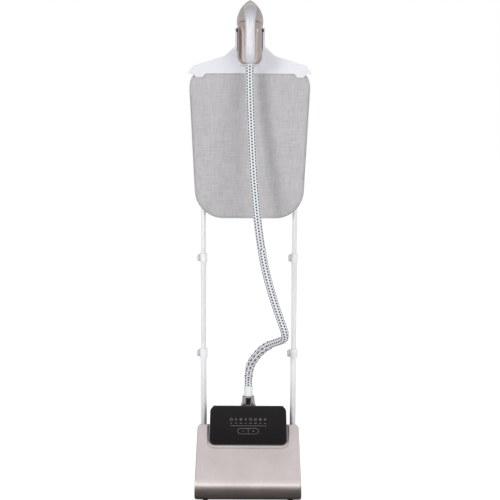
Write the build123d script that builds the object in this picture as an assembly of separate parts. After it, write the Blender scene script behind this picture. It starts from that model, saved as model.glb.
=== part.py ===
"""Garment steamer on a telescopic twin-pole stand, as separate pieces.

Millimetres. The origin is on the floor under the middle of the base, X to the right, Y to the back, Z up.
The front of the steamer, with its touch panel, faces -Y.
"""

import os
from math import acos, asin, atan2, cos, degrees, pi, radians, sin, tan

from build123d import *

# General clearances
FIT = 0.1  # between pieces that are fixed to each other
LOOSE = 0.4  # between pieces that move past each other
PIN_CLEARANCE = 0.06  # radial play of a turning pin
SEAT_GAP = 0.3  # under a piece that rests in a seat

# Base shell
BASE_WIDTH = 348.0
BASE_DEPTH = 300.0
SHELL_BOTTOM = 11.0
SHELL_WALL = 3.5
SIDE_DRAFT = 1.3  # degrees
SIDE_ROUND = 5.0
SHOULDER_ROUND = 15.0  # at the two ends of the crest, seen from the front
NOSE_RADIUS = 46.0
NOSE_Z = 47.0
CREST_Y = 8.0
CREST_Z = 219.0
CREST_ROUND = 10.0
CREST_LIP = 9.0
DECK_Z = 178.0
DECK_STEP = 6.0
BACK_ROUND = 16.0
BACK_CHAMFER = 26.0

# Base pan, feet and screws
PAN_THICKNESS = 5.0
PAN_MARGIN = 3.0
FOOT_DIAMETER = 18.0
FOOT_SIDE_MARGIN = 36.0  # of a foot's middle from the base's side
FOOT_FRONT_Y = -112.0
FOOT_BACK_Y = 92.0
SCREW_DIAMETER = 4.0
SCREW_HEAD = 8.0
SCREW_HEAD_HEIGHT = 2.6
BASE_SCREW_MARGIN = 11.0
BASE_SCREW_Y = 90.0
BASE_SCREW_LENGTH = 28.0
BOSS_DIAMETER = 16.0

# Transport wheels
WHEEL_DIAMETER = 44.0
WHEEL_WIDTH = 16.0
WHEEL_SIDE_MARGIN = 54.0
WHEEL_Y = 127.0
WHEEL_FLOOR_GAP = 2.0
AXLE_DIAMETER = 6.0
LUG_THICKNESS = 4.0
LUG_RADIUS = 8.0

# Touch panel and the head behind it
PANEL_TILT = 28.0  # degrees back from upright
PANEL_Y = -47.0  # lower edge of the panel's face
PANEL_Z = 164.5
PANEL_HEIGHT = 132.0
PANEL_SIDE_MARGIN = 45.0
PANEL_NARROWING = 5.0  # of the top edge against the lower one
PANEL_CORNER = 20.0
BEZEL_RIM = 2.5
BEZEL_DEPTH = 8.0
GLASS_THICKNESS = 3.0
RECESS_MARGIN = 4.0
RECESS_BELOW = 10.0
RECESS_DEPTH = 2.2
RECESS_RIM_SLOPE = 68.0  # degrees
HEAD_INSET = 4.0  # of the head behind the bezel's outline, on each side
HEAD_BOTTOM = 150.0
HEAD_TOP = 264.0
HEAD_BACK = 85.0
HEAD_WALL = 3.0
HEAD_CORNER = 28.0
BROW_BACK = 29.0
CONTROL_BOARD_WIDTH = 180.0
CONTROL_BOARD_HEIGHT = 60.0
CONTROL_BOARD_THICKNESS = 1.6
STANDOFF_HEIGHT = 6.0
STANDOFF_DIAMETER = 6.0

# Telescopic poles
POLE_SIDE_MARGIN = 24.0
POLE_Y = 40.0
LOWER_POLE_DIAMETER = 22.0
POLE_WALL = 1.25
POLE_CLEARANCE = 0.25
POLE_OVERLAP = 60.0
UPPER_POLE_TOP = 1402.0
SOCKET_WALL = 2.5
SOCKET_FLANGE = 29.0
SOCKET_FLANGE_HEIGHT = 4.0
SOCKET_FLOOR = 4.0

# Clip collars and levers
LOWER_COLLAR_Z = 456.0
UPPER_COLLAR_Z = 776.0
COLLAR_HEIGHT = 29.0
COLLAR_WALL = 3.0
COLLAR_ROUND = 2.0
COLLAR_SEAT = 9.5  # length of pole held in the collar's lower end
LEVER_WIDTH = 16.0
LEVER_BULGE = 8.5
LEVER_HEIGHT = 23.0
LEVER_PIN = 3.0
LEVER_BARREL = 3.8  # radius round the pin
LUG_WIDTH = 6.0
CAM_LENGTH = 2.0
CAM_HEIGHT = 4.0

# Steam outlet on the head
OUTLET_Y = 56.0
OUTLET_BORE = 10.0
FLANGE_DIAMETER = 51.0
FLANGE_HEIGHT = 15.0
FLANGE_SPIGOT = 18.0
BELL_BOTTOM_DIAMETER = 47.0
BELL_TOP_DIAMETER = 41.0
BELL_HEIGHT = 28.0
CUFF_DIAMETER = 30.0
CUFF_HEIGHT = 33.0

# Hose
HOSE_DIAMETER = 26.0
HOSE_BORE = 14.0
RIB_PITCH = 10.0
RIB_DEPTH = 1.2
TAIL_Y = -50.0
TAIL_BOTTOM = 1404.0
# Corners of the hose's route between the iron's tail and the cuff, from the top down.
HOSE_CORNERS = [
    (2, -58, 1294),
    (6, -71, 1191),
    (14, -89, 1045),
    (30, -108, 880),
    (50, -119, 765),
    (73, -127, 682),
    (94, -130, 619),
    (109, -128, 578),
    (118, -118, 549),
    (116, -101, 531),
    (99, -81, 520),
    (75, -58, 507),
    (51, -32, 488),
    (31, -6, 462),
    (17, 20, 438),
    (8, 38, 418),
    (3, 50, 396),
]
TAIL_STRAIGHT = 40.0  # straight end under the tail
CUFF_STRAIGHT = 30.0  # and above the cuff
RUN_SHARE = 0.45  # of a run that the arc at its corner may take
# The hose parts half way along the run before each of these corners, counted from 0.
MIDDLE_HOSE_FROM = 1
LOWER_HOSE_FROM = 4
RIBBED_FROM = 11

# Hanger
HANGER_HALF_SPAN = 201.0
HANGER_BOTTOM = 1378.0
HANGER_FRONT = -3.0
HANGER_BACK = 52.0
HANGER_WALL = 3.0
HANGER_COLUMN_HALF = 44.0
HANGER_COLUMN_TOP = 1500.0
TIP_DROP = 1.0  # of the outer tip under the flat underside
TIP_INSET = 20.0
TIP_RISE = 25.0
SHOULDER_REACH = 35.0  # from the column to where the sloping shoulder begins
SHOULDER_RISE = 56.0
NECK_FLARE = 2.0
NECK_RISE = 88.0
SHOULDER_ROUNDS = [1.5, 14.0, 30.0, 20.0, 8.0]  # from the tip to the column's top
TAB_INNER = 139.0
TAB_OUTER = 185.0
TAB_DROP = 13.0
POLE_CAP_WALL = 3.0

# Cradle that holds the iron on the hanger
CRADLE_HALF_WIDTH = 47.0
CRADLE_BOTTOM = 1403.7
CRADLE_TOP = 1521.0
CRADLE_PLATE = 6.0
FENCE_THICKNESS = 6.6
FENCE_BOTTOM = 1450.0
FENCE_DEPTH = 25.0
FENCE_ROUND = 3.0
LIP_HALF_WIDTH = 30.0
LIP_THICKNESS = 4.0
LIP_DEPTH = 19.0
PAD_THICKNESS = 0.6  # in front of the fence
PAD_SINK = 3.5  # of an upper pad into the fence
PAD_HEIGHT = 10.0
PAD_MARGIN = 3.0
CRADLE_SCREW_X = 34.0
CRADLE_SCREW_Z = (1432.0, 1488.0)
CRADLE_SCREW_LENGTH = 11.0

# Ironing board
BOARD_TOP = 1384.0
BOARD_BOTTOM = 910.0
BOARD_TOP_HALF = 197.5
BOARD_BOTTOM_HALF = 173.5
BOARD_TOP_CORNER = 54.0
BOARD_BOTTOM_CORNER = 88.0
BOARD_FRONT = 5.0
COVER_THICKNESS = 11.0
COVER_CROWN = 5.0
CORE_THICKNESS = 4.0
CORE_INSET = 4.0
BOARD_CLIP_Z = (1112.0, 1330.0)
BOARD_CLIP_HEIGHT = 18.0
BOARD_CLIP_WALL = 4.0

# Steam iron
IRON_HALF_WIDTH = 42.3
IRON_WAIST_HALF = 39.4  # half the width from the heel up to the waist
IRON_BOTTOM = 1408.0
IRON_WAIST_Z = 1520.0
IRON_WIDEST_Z = 1538.0
IRON_TIP = 1608.0
IRON_HEEL_ROUND = 22.0
IRON_WAIST_ROUND = 60.0
IRON_TIP_ROUND = 4.0
SOLE_THICKNESS = 7.0
SOLE_INSET = 1.5
SKIRT_THICKNESS = 13.4
SKIRT_ROUND = 3.0
IRON_BODY_DEPTH = 36.0
IRON_BODY_TOP = 1545.0
IRON_BODY_INSET = 0.4  # inside the skirt's outline
IRON_BODY_ROUND = 20.0  # how far the body's sides draw in towards the handle
IRON_BODY_FALL = 34.0  # how far its top falls towards the handle
IRON_BODY_CORNER = 0.6  # share of half its width
IRON_BODY_STEPS = 5
STEAM_HOLE = 3.5
STEAM_HOLE_ROWS = 6
STEAM_HOLE_PITCH = 20.0
TAIL_DIAMETER = 30.0
TAIL_HEIGHT = 22.0
TAIL_ROUND = 2.0
HANDLE_REACH = 108.0  # of the grip's middle in front of the origin
HANDLE_TIP_DROP = 23.0  # of the handle's upper end under the iron's tip
HANDLE_HEEL_RISE = 11.0  # of its lower end above the heel
GRIP_WIDTH = 30.5
GRIP_THICKNESS = 25.0
TRIGGER_WIDTH = 13.0
TRIGGER_LENGTH = 36.0
TRIGGER_THICKNESS = 8.0
TRIGGER_TOP = 1528.0
TRIGGER_PIN = 3.0

# Water tank in its bay
TANK_SIDE_MARGIN = 66.0
TANK_FRONT = 89.0
TANK_BACK = 147.0
TANK_BOTTOM = 63.0
TANK_TOP = 240.0
TANK_WALL = 2.5
TANK_CORNER = 14.0
BAY_GAP = 0.8
BAY_WALL = 2.5
NECK_DIAMETER = 44.0
NECK_BORE = 38.0
NECK_HEIGHT = 5.0
CAP_HEIGHT = 5.0
CAP_PLUG_DEPTH = 4.0
CAP_PLUG_GAP = 1.3
CAP_PIN = 3.0
CAP_LUG_RADIUS = 3.6
CAP_KNUCKLE_WIDTH = 14.0
VALVE_HOLE = 12.0
VALVE_HEAD = 18.0
VALVE_HEAD_HEIGHT = 3.0
VALVE_STEM = 8.0
SPRING_HEIGHT = 12.0
SPRING_OUTER = 15.0
SPRING_INNER = 10.0
CAGE_THICKNESS = 3.0
SEAL_OUTER = 26.0
SEAL_THICKNESS = 1.5
SPIGOT_LENGTH = 14.0
SPIGOT_WALL = 3.0

# Boiler and its pipes
BOILER_DIAMETER = 80.0
BOILER_SIDE_MARGIN = 89.0
BOILER_WALL = 2.0
BOILER_Y = 5.0
BOILER_Z = 82.0
BOILER_BOSS = 18.0
BOILER_BOSS_HEIGHT = 6.0
SADDLE_END_MARGIN = 30.0
SADDLE_WIDTH = 14.0
SADDLE_DEPTH = 50.0
ELEMENT_DIAMETER = 8.0
ELEMENT_DROP = 18.0
ELEMENT_TAIL = 12.0
THERMOSTAT_END_MARGIN = 40.0
THERMOSTAT_DIAMETER = 16.0
THERMOSTAT_HEIGHT = 10.0
PUMP_SIDE_MARGIN = 62.0
PUMP_WIDTH = 36.0
PUMP_DEPTH = 62.0
PUMP_HEIGHT = 46.0
WATER_PIPE = 8.0
STEAM_PIPE = 10.0
PIPE_BORE = 5.0
PIPE_BEND = 12.0
GLAND_DIAMETER = 15.0
GLAND_BORE = 8.0
GLAND_SIDE_MARGIN = 29.0
GLAND_Z = 90.0
GLAND_LENGTH = 20.0

# Sizes that follow from the ones above
FRONT = -BASE_DEPTH / 2
BACK = BASE_DEPTH / 2
BASE_HALF = BASE_WIDTH / 2
FOOT_X = BASE_HALF - FOOT_SIDE_MARGIN
BASE_SCREW_X = BASE_HALF - BASE_SCREW_MARGIN
WHEEL_X = BASE_HALF - WHEEL_SIDE_MARGIN
PUMP_X = PUMP_SIDE_MARGIN - BASE_HALF
GLAND_X = BASE_HALF - GLAND_SIDE_MARGIN
PANEL_BOTTOM_WIDTH = BASE_WIDTH - 2 * PANEL_SIDE_MARGIN
PANEL_TOP_WIDTH = PANEL_BOTTOM_WIDTH - PANEL_NARROWING
POLE_SPACING = BASE_WIDTH - 2 * POLE_SIDE_MARGIN
TANK_WIDTH = BASE_WIDTH - 2 * TANK_SIDE_MARGIN
BOILER_LENGTH = BASE_WIDTH - 2 * BOILER_SIDE_MARGIN
SADDLE_X = BOILER_LENGTH / 2 - SADDLE_END_MARGIN
THERMOSTAT_X = BOILER_LENGTH / 2 - THERMOSTAT_END_MARGIN
PAN_TOP = SHELL_BOTTOM
PAN_BOTTOM = PAN_TOP - PAN_THICKNESS
MIDDLE_POLE_DIAMETER = LOWER_POLE_DIAMETER - 2 * (POLE_WALL + POLE_CLEARANCE)
UPPER_POLE_DIAMETER = MIDDLE_POLE_DIAMETER - 2 * (POLE_WALL + POLE_CLEARANCE)
LOWER_POLE_TOP = LOWER_COLLAR_Z - COLLAR_HEIGHT / 2 + COLLAR_SEAT
MIDDLE_POLE_TOP = UPPER_COLLAR_Z - COLLAR_HEIGHT / 2 + COLLAR_SEAT
SOCKET_DIAMETER = LOWER_POLE_DIAMETER + 2 * (FIT + SOCKET_WALL)
CRADLE_FRONT = HANGER_FRONT - CRADLE_PLATE
SOLE_BACK = CRADLE_FRONT - 2 * SEAT_GAP
SKIRT_BACK = SOLE_BACK - SOLE_THICKNESS
SKIRT_FRONT = SKIRT_BACK - SKIRT_THICKNESS
IRON_BODY_FRONT = SKIRT_FRONT - IRON_BODY_DEPTH
FLANGE_TOP = HEAD_TOP + FLANGE_HEIGHT
BELL_TOP = FLANGE_TOP + BELL_HEIGHT
CUFF_TOP = BELL_TOP + CUFF_HEIGHT
COVER_BACK = BOARD_FRONT + COVER_THICKNESS
CORE_BACK = COVER_BACK + CORE_THICKNESS
TANK_Y = (TANK_FRONT + TANK_BACK) / 2
SEAT_TOP = TANK_BOTTOM - SEAT_GAP
SEAT_BOTTOM = SEAT_TOP - BAY_WALL
WHEEL_Z = WHEEL_FLOOR_GAP + WHEEL_DIAMETER / 2
SIDES = {"left": -1, "right": 1}

PANEL_PLANE = Plane(
    origin=(0, PANEL_Y, PANEL_Z),
    x_dir=(1, 0, 0),
    z_dir=(0, -cos(radians(PANEL_TILT)), sin(radians(PANEL_TILT))),
)


def block(x_from, x_to, y_from, y_to, z_from, z_to):
    """A box between two corners."""
    middle = Pos((x_from + x_to) / 2, (y_from + y_to) / 2, (z_from + z_to) / 2)
    return middle * Box(x_to - x_from, y_to - y_from, z_to - z_from)


def rod_x(diameter, x_from, x_to, y, z):
    return Pos((x_from + x_to) / 2, y, z) * Rot(0, 90, 0) * Cylinder(diameter / 2, x_to - x_from)


def rod_y(diameter, y_from, y_to, x, z):
    return Pos(x, (y_from + y_to) / 2, z) * Rot(90, 0, 0) * Cylinder(diameter / 2, y_to - y_from)


def rod_z(diameter, z_from, z_to, x=0.0, y=0.0):
    return Pos(x, y, (z_from + z_to) / 2) * Cylinder(diameter / 2, z_to - z_from)


def sleeve_z(outer, inner, z_from, z_to, x=0.0, y=0.0):
    return rod_z(outer, z_from, z_to, x, y) - rod_z(inner, z_from, z_to, x, y)


def front_plate(outline, y_back, thickness):
    """An outline drawn in X and Z, from y_back towards the front."""
    return extrude(Plane.XZ.offset(-y_back) * outline, amount=thickness)


def side_plate(outline, x_middle, thickness):
    """An outline drawn in Y and Z, centred on x_middle."""
    return extrude(Plane.YZ.offset(x_middle) * outline, amount=thickness / 2, both=True)


def mirrored(shape):
    return mirror(shape, about=Plane.YZ)


def save(node, *shapes):
    solids = [solid for shape in shapes for solid in shape.solids()]
    export_step(solids[0] if len(solids) == 1 else Compound(solids), f"parts/{node}.step")


def slope_angle():
    """The angle of the base's sloping front above the floor, and where it leaves the nose."""
    nose_y = FRONT + NOSE_RADIUS
    to_crest = (CREST_Y - nose_y, CREST_Z - NOSE_Z)
    reach = (to_crest[0] ** 2 + to_crest[1] ** 2) ** 0.5
    around = atan2(to_crest[1], to_crest[0]) + acos(NOSE_RADIUS / reach)
    leaves = (nose_y + NOSE_RADIUS * cos(around), NOSE_Z + NOSE_RADIUS * sin(around))
    return around - radians(90), leaves


def base_outline():
    """The base seen from its right side: rounded nose, sloping front, crest and flat deck."""
    _, leaves = slope_angle()
    tuck = NOSE_RADIUS * cos(asin((NOSE_Z - SHELL_BOTTOM) / NOSE_RADIUS))
    start = (FRONT + NOSE_RADIUS - tuck, SHELL_BOTTOM)
    crest_back = (CREST_Y + CREST_LIP, CREST_Z)
    nose = ThreePointArc(start, (FRONT, NOSE_Z), leaves)
    rest = Polyline(
        leaves,
        (CREST_Y, CREST_Z),
        crest_back,
        (CREST_Y + CREST_LIP + DECK_STEP, DECK_Z),
        (BACK, DECK_Z),
        (BACK, SHELL_BOTTOM + BACK_CHAMFER),
        (BACK - BACK_CHAMFER, SHELL_BOTTOM),
        start,
    )
    outline = make_face(Curve() + [nose, rest])
    for corner, radius in (
        ((CREST_Y, CREST_Z), CREST_ROUND),
        (crest_back, CREST_LIP / 2),
        ((BACK, DECK_Z), BACK_ROUND),
    ):
        outline = fillet(outline.vertices().sort_by_distance((*corner, 0))[0], radius)
    return outline


def base_block(inset):
    """The base as a solid, drawn in by inset all round, with its sides leaning in."""
    outline = base_outline()
    if inset:
        outline = offset(outline, amount=-inset)
    foot = Rectangle(BASE_WIDTH - 2 * inset, 4 * BASE_DEPTH)
    wedge = extrude(Plane.XY.offset(SHELL_BOTTOM) * foot, amount=2 * CREST_Z, taper=SIDE_DRAFT)
    return side_plate(outline, 0, 2 * BASE_WIDTH) & wedge


def under_shoulders(inset):
    """All the space under the crest and its two rounded ends, drawn in by inset."""
    lean_in = tan(radians(SIDE_DRAFT))
    foot = BASE_HALF + SHELL_BOTTOM * lean_in - inset + FIT
    top = CREST_Z - inset + FIT
    end = foot - CREST_Z * lean_in
    arch = make_face(Polyline((-foot, 0), (foot, 0), (end, top), (-end, top), close=True))
    arch = fillet(arch.vertices().sort_by(Axis.Y)[-2:], SHOULDER_ROUND - inset)
    return front_plate(arch, 2 * BACK, 4 * BACK)


def panel_outline(grow):
    """The panel's outline in its own plane, with the lower edge's middle at the origin."""
    corners = [
        (-PANEL_BOTTOM_WIDTH / 2, 0),
        (PANEL_BOTTOM_WIDTH / 2, 0),
        (PANEL_TOP_WIDTH / 2, PANEL_HEIGHT),
        (-PANEL_TOP_WIDTH / 2, PANEL_HEIGHT),
    ]
    outline = make_face(Polyline(*corners, close=True))
    outline = fillet(outline.vertices(), PANEL_CORNER)
    return offset(outline, amount=grow) if grow else outline


def behind_panel(depth):
    """All the space in front of a plane that lies this deep behind the panel's face."""
    sheet = PANEL_PLANE.offset(-depth) * Rectangle(4 * BASE_WIDTH, 4 * BASE_WIDTH)
    return extrude(sheet, amount=BASE_WIDTH)


def head_block(inset):
    """The head behind the panel: drawn in by inset, or grown where inset is negative."""
    brow_top = PANEL_Z + (PANEL_HEIGHT - HEAD_INSET) * cos(radians(PANEL_TILT))
    width = PANEL_TOP_WIDTH - 2 * HEAD_INSET - 2 * inset
    height = brow_top - HEAD_BOTTOM - 2 * inset
    face = Pos(0, (brow_top + HEAD_BOTTOM) / 2) * RectangleRounded(width, height, HEAD_CORNER - inset)
    head = front_plate(face, HEAD_BACK - inset, BASE_DEPTH)
    head -= behind_panel(BEZEL_DEPTH + inset)
    return head - block(-width, width, BROW_BACK - inset, BACK, HEAD_TOP - inset, 2 * HEAD_TOP)


def tank_bay(inset):
    """The space that the tank seat takes out of the base, open to the top and the back."""
    half = TANK_WIDTH / 2 + BAY_GAP + BAY_WALL - inset
    front = TANK_FRONT - BAY_GAP - BAY_WALL + inset
    return block(-half, half, front, 2 * BACK, SEAT_BOTTOM + inset, 2 * DECK_Z)


def panel_recess():
    """The shallow recess round the foot of the panel, with a sloping rim."""
    lean, leaves = slope_angle()
    start = Vector(0, PANEL_Y, leaves[1] + (PANEL_Y - leaves[0]) * tan(lean))
    plane = Plane(origin=start, x_dir=(1, 0, 0), z_dir=(0, -sin(lean), cos(lean)))
    length = PANEL_HEIGHT + RECESS_BELOW
    width = PANEL_BOTTOM_WIDTH + 2 * RECESS_MARGIN - 2 * RECESS_DEPTH
    floor = Pos(0, length / 2 - RECESS_BELOW) * RectangleRounded(width, length, PANEL_CORNER)
    return extrude(plane.offset(-RECESS_DEPTH) * floor, amount=2 * RECESS_DEPTH, taper=-RECESS_RIM_SLOPE)


def base_shell():
    shell = base_block(0)
    side_faces = [shell.faces().sort_by(Axis.X)[0], shell.faces().sort_by(Axis.X)[-1]]
    round_edges = [
        edge
        for face in side_faces
        for edge in face.edges()
        if edge.bounding_box().max.Z > SHELL_BOTTOM + BACK_CHAMFER + 1
    ]
    shell = fillet(round_edges, SIDE_ROUND) & under_shoulders(0)
    shell -= panel_recess()
    inside = base_block(SHELL_WALL) & under_shoulders(SHELL_WALL)
    mouth_half = BASE_WIDTH / 2 - 2 * SHELL_WALL
    mouth_front = FRONT + NOSE_RADIUS / 2
    mouth = block(-mouth_half, mouth_half, mouth_front, BACK - BACK_CHAMFER - SHELL_WALL, 0, NOSE_Z)
    shell -= inside + mouth
    shell -= head_block(-LOOSE)
    bezel_back = PANEL_PLANE.offset(-BEZEL_DEPTH - FIT)
    shell -= extrude(bezel_back * panel_outline(LOOSE), amount=2 * BEZEL_DEPTH)
    shell -= tank_bay(-FIT)
    for x in (-POLE_SPACING / 2, POLE_SPACING / 2):
        shell -= rod_z(SOCKET_DIAMETER + 2 * FIT, DECK_Z / 2, 2 * DECK_Z, x, POLE_Y)
    arch_half = WHEEL_WIDTH / 2 + LUG_THICKNESS + 4 * LOOSE
    arch_front = WHEEL_Y - WHEEL_DIAMETER / 2 - 4 * LOOSE
    arch_top = WHEEL_Z + WHEEL_DIAMETER / 2 + LOOSE
    for x in (-WHEEL_X, WHEEL_X):
        shell -= block(x - arch_half, x + arch_half, arch_front, 2 * BACK, 0, arch_top)
    shell -= rod_y(GLAND_DIAMETER + 2 * FIT, 0, 2 * BACK, GLAND_X, GLAND_Z)
    boss_top = PAN_TOP + BASE_SCREW_LENGTH + SHELL_WALL
    for x, y in base_screw_places():
        shell += rod_z(BOSS_DIAMETER, PAN_TOP, boss_top, x, y) & base_block(SHELL_WALL / 2)
        shell -= rod_z(SCREW_DIAMETER + 2 * FIT, 0, PAN_BOTTOM + BASE_SCREW_LENGTH + FIT, x, y)
    return shell


def base_screw_places():
    return [(x, y) for x in (-BASE_SCREW_X, BASE_SCREW_X) for y in (-BASE_SCREW_Y, BASE_SCREW_Y)]


def base_pan():
    half = BASE_WIDTH / 2 - PAN_MARGIN
    front = FRONT + NOSE_RADIUS / 2
    pan = block(-half, half, front, BACK - BACK_CHAMFER, PAN_BOTTOM, PAN_TOP)
    slot_half = WHEEL_WIDTH / 2 + 2 * LOOSE
    lug_offset = slot_half + LUG_THICKNESS / 2
    for x in (-WHEEL_X, WHEEL_X):
        slot_front = WHEEL_Y - WHEEL_DIAMETER / 2 - 2 * LOOSE
        pan -= block(x - slot_half, x + slot_half, slot_front, BACK, 0, PAN_TOP)
        for lug_x in (x - lug_offset, x + lug_offset):
            lug = Pos(WHEEL_Y, WHEEL_Z) * Circle(LUG_RADIUS)
            foot_length = WHEEL_DIAMETER / 2
            foot = Pos(WHEEL_Y - foot_length / 2, (PAN_BOTTOM + WHEEL_Z) / 2)
            lug += foot * Rectangle(foot_length, WHEEL_Z - PAN_BOTTOM)
            lug -= Pos(WHEEL_Y, WHEEL_Z) * Circle(AXLE_DIAMETER / 2 + FIT / 2)
            pan += side_plate(lug, lug_x, LUG_THICKNESS)
    saddle_top = BOILER_Z - BOILER_DIAMETER / 4
    for x in (-SADDLE_X, SADDLE_X):
        saddle = block(
            x - SADDLE_WIDTH / 2,
            x + SADDLE_WIDTH / 2,
            BOILER_Y - SADDLE_DEPTH / 2,
            BOILER_Y + SADDLE_DEPTH / 2,
            PAN_TOP - 1,
            saddle_top,
        )
        hollow = rod_x(BOILER_DIAMETER + 2 * FIT, x - SADDLE_WIDTH, x + SADDLE_WIDTH, BOILER_Y, BOILER_Z)
        pan += saddle - hollow
    for x, y in base_screw_places():
        pan -= rod_z(SCREW_DIAMETER + 2 * FIT, 0, PAN_TOP, x, y)
        pan -= rod_z(SCREW_HEAD + 2 * FIT, 0, PAN_BOTTOM + SCREW_HEAD_HEIGHT, x, y)
    return pan


def base_screws():
    screws = []
    for x, y in base_screw_places():
        head = rod_z(SCREW_HEAD, PAN_BOTTOM, PAN_BOTTOM + SCREW_HEAD_HEIGHT, x, y)
        screws.append(head + rod_z(SCREW_DIAMETER, PAN_BOTTOM, PAN_BOTTOM + BASE_SCREW_LENGTH, x, y))
    return screws


def rubber_feet():
    places = [(x, y) for x in (-FOOT_X, FOOT_X) for y in (FOOT_FRONT_Y, FOOT_BACK_Y)]
    return [rod_z(FOOT_DIAMETER, 0, PAN_BOTTOM, x, y) for x, y in places]


def axle_half_length():
    return WHEEL_WIDTH / 2 + 2 * LOOSE + LUG_THICKNESS


def wheel(x):
    tread = rod_x(WHEEL_DIAMETER, x - WHEEL_WIDTH / 2, x + WHEEL_WIDTH / 2, WHEEL_Y, WHEEL_Z)
    tread = fillet(tread.edges(), WHEEL_WIDTH / 8)
    bore = AXLE_DIAMETER + 2 * PIN_CLEARANCE
    return tread - rod_x(bore, x - WHEEL_WIDTH, x + WHEEL_WIDTH, WHEEL_Y, WHEEL_Z)


def panel_bezel():
    bezel = extrude(PANEL_PLANE * panel_outline(0), amount=-BEZEL_DEPTH)
    return bezel - extrude(PANEL_PLANE * panel_outline(-BEZEL_RIM + FIT), amount=-GLASS_THICKNESS)


def panel_glass():
    return extrude(PANEL_PLANE * panel_outline(-BEZEL_RIM), amount=-GLASS_THICKNESS)


def head_housing():
    head = head_block(0)
    hollow = head_block(HEAD_WALL)
    half = PANEL_TOP_WIDTH / 2 - HEAD_INSET - HEAD_CORNER
    mouth_depth = HEAD_BACK - HEAD_WALL
    hollow += block(-half, half, 0, mouth_depth, HEAD_BOTTOM - 1, HEAD_BOTTOM + 2 * HEAD_WALL)
    return head - hollow - rod_z(FLANGE_SPIGOT + 2 * FIT, HEAD_TOP / 2, 2 * HEAD_TOP, 0, OUTLET_Y)


def control_board():
    """The circuit board on four standoffs behind the head's front wall."""
    back_of_wall = PANEL_PLANE.offset(-BEZEL_DEPTH - HEAD_WALL)
    middle = PANEL_HEIGHT / 2
    sheet = Pos(0, middle) * Rectangle(CONTROL_BOARD_WIDTH, CONTROL_BOARD_HEIGHT)
    board = extrude(back_of_wall.offset(-STANDOFF_HEIGHT) * sheet, amount=-CONTROL_BOARD_THICKNESS)
    spread_x = CONTROL_BOARD_WIDTH - 2 * STANDOFF_DIAMETER
    spread_y = CONTROL_BOARD_HEIGHT - 2 * STANDOFF_DIAMETER
    posts = GridLocations(spread_x, spread_y, 2, 2) * Circle(STANDOFF_DIAMETER / 2)
    return board + extrude(back_of_wall * (Pos(0, middle) * Sketch(posts)), amount=-STANDOFF_HEIGHT)


def pole_socket(x):
    top = DECK_Z + SOCKET_FLANGE_HEIGHT
    socket = rod_z(SOCKET_DIAMETER, PAN_TOP, top, x, POLE_Y)
    socket += rod_z(SOCKET_FLANGE, DECK_Z, top, x, POLE_Y)
    return socket - rod_z(LOWER_POLE_DIAMETER + 2 * FIT, PAN_TOP + SOCKET_FLOOR, top, x, POLE_Y)


def pole(diameter, z_from, z_to, x):
    return sleeve_z(diameter, diameter - 2 * POLE_WALL, z_from, z_to, x, POLE_Y)


def pin_place(x, collar_z, pole_diameter):
    """Where a clip lever's pin lies, in X and Z, on the left of its collar."""
    collar_radius = pole_diameter / 2 + COLLAR_WALL
    pin_x = x - collar_radius - LOOSE - LEVER_BARREL
    return pin_x, collar_z - LEVER_HEIGHT / 2 + LEVER_BARREL


def collar(x, collar_z, pole_diameter):
    """A clip collar on top of a pole, with a lug for its lever and a window for the lever's cam."""
    inner_diameter = pole_diameter - 2 * (POLE_WALL + POLE_CLEARANCE)
    bottom = collar_z - COLLAR_HEIGHT / 2
    top = collar_z + COLLAR_HEIGHT / 2
    outer_diameter = pole_diameter + 2 * COLLAR_WALL
    ring = rod_z(outer_diameter, bottom, top, x, POLE_Y)
    ring = fillet(ring.edges(), COLLAR_ROUND)
    pin_x, pin_z = pin_place(x, collar_z, pole_diameter)
    lug_outline = Pos(pin_x, pin_z) * Circle(LEVER_BARREL)
    lug_outline += Pos((pin_x + x) / 2, pin_z) * Rectangle(x - pin_x, 2 * LEVER_BARREL)
    lug_outline -= Pos(pin_x, pin_z) * Circle(LEVER_PIN / 2 + FIT / 2)
    ring += front_plate(lug_outline, POLE_Y + LUG_WIDTH / 2, LUG_WIDTH)
    window_low = pin_z + LEVER_BARREL
    window_top = window_low + 2 * CAM_HEIGHT
    window_half = LUG_WIDTH / 2 + LOOSE
    ring -= block(x - outer_diameter, x, POLE_Y - window_half, POLE_Y + window_half, window_low, window_top)
    ring -= rod_z(pole_diameter + 2 * FIT, bottom - 1, bottom + COLLAR_SEAT, x, POLE_Y)
    return ring - rod_z(inner_diameter + 2 * LOOSE, bottom - 1, top + 1, x, POLE_Y)


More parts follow.
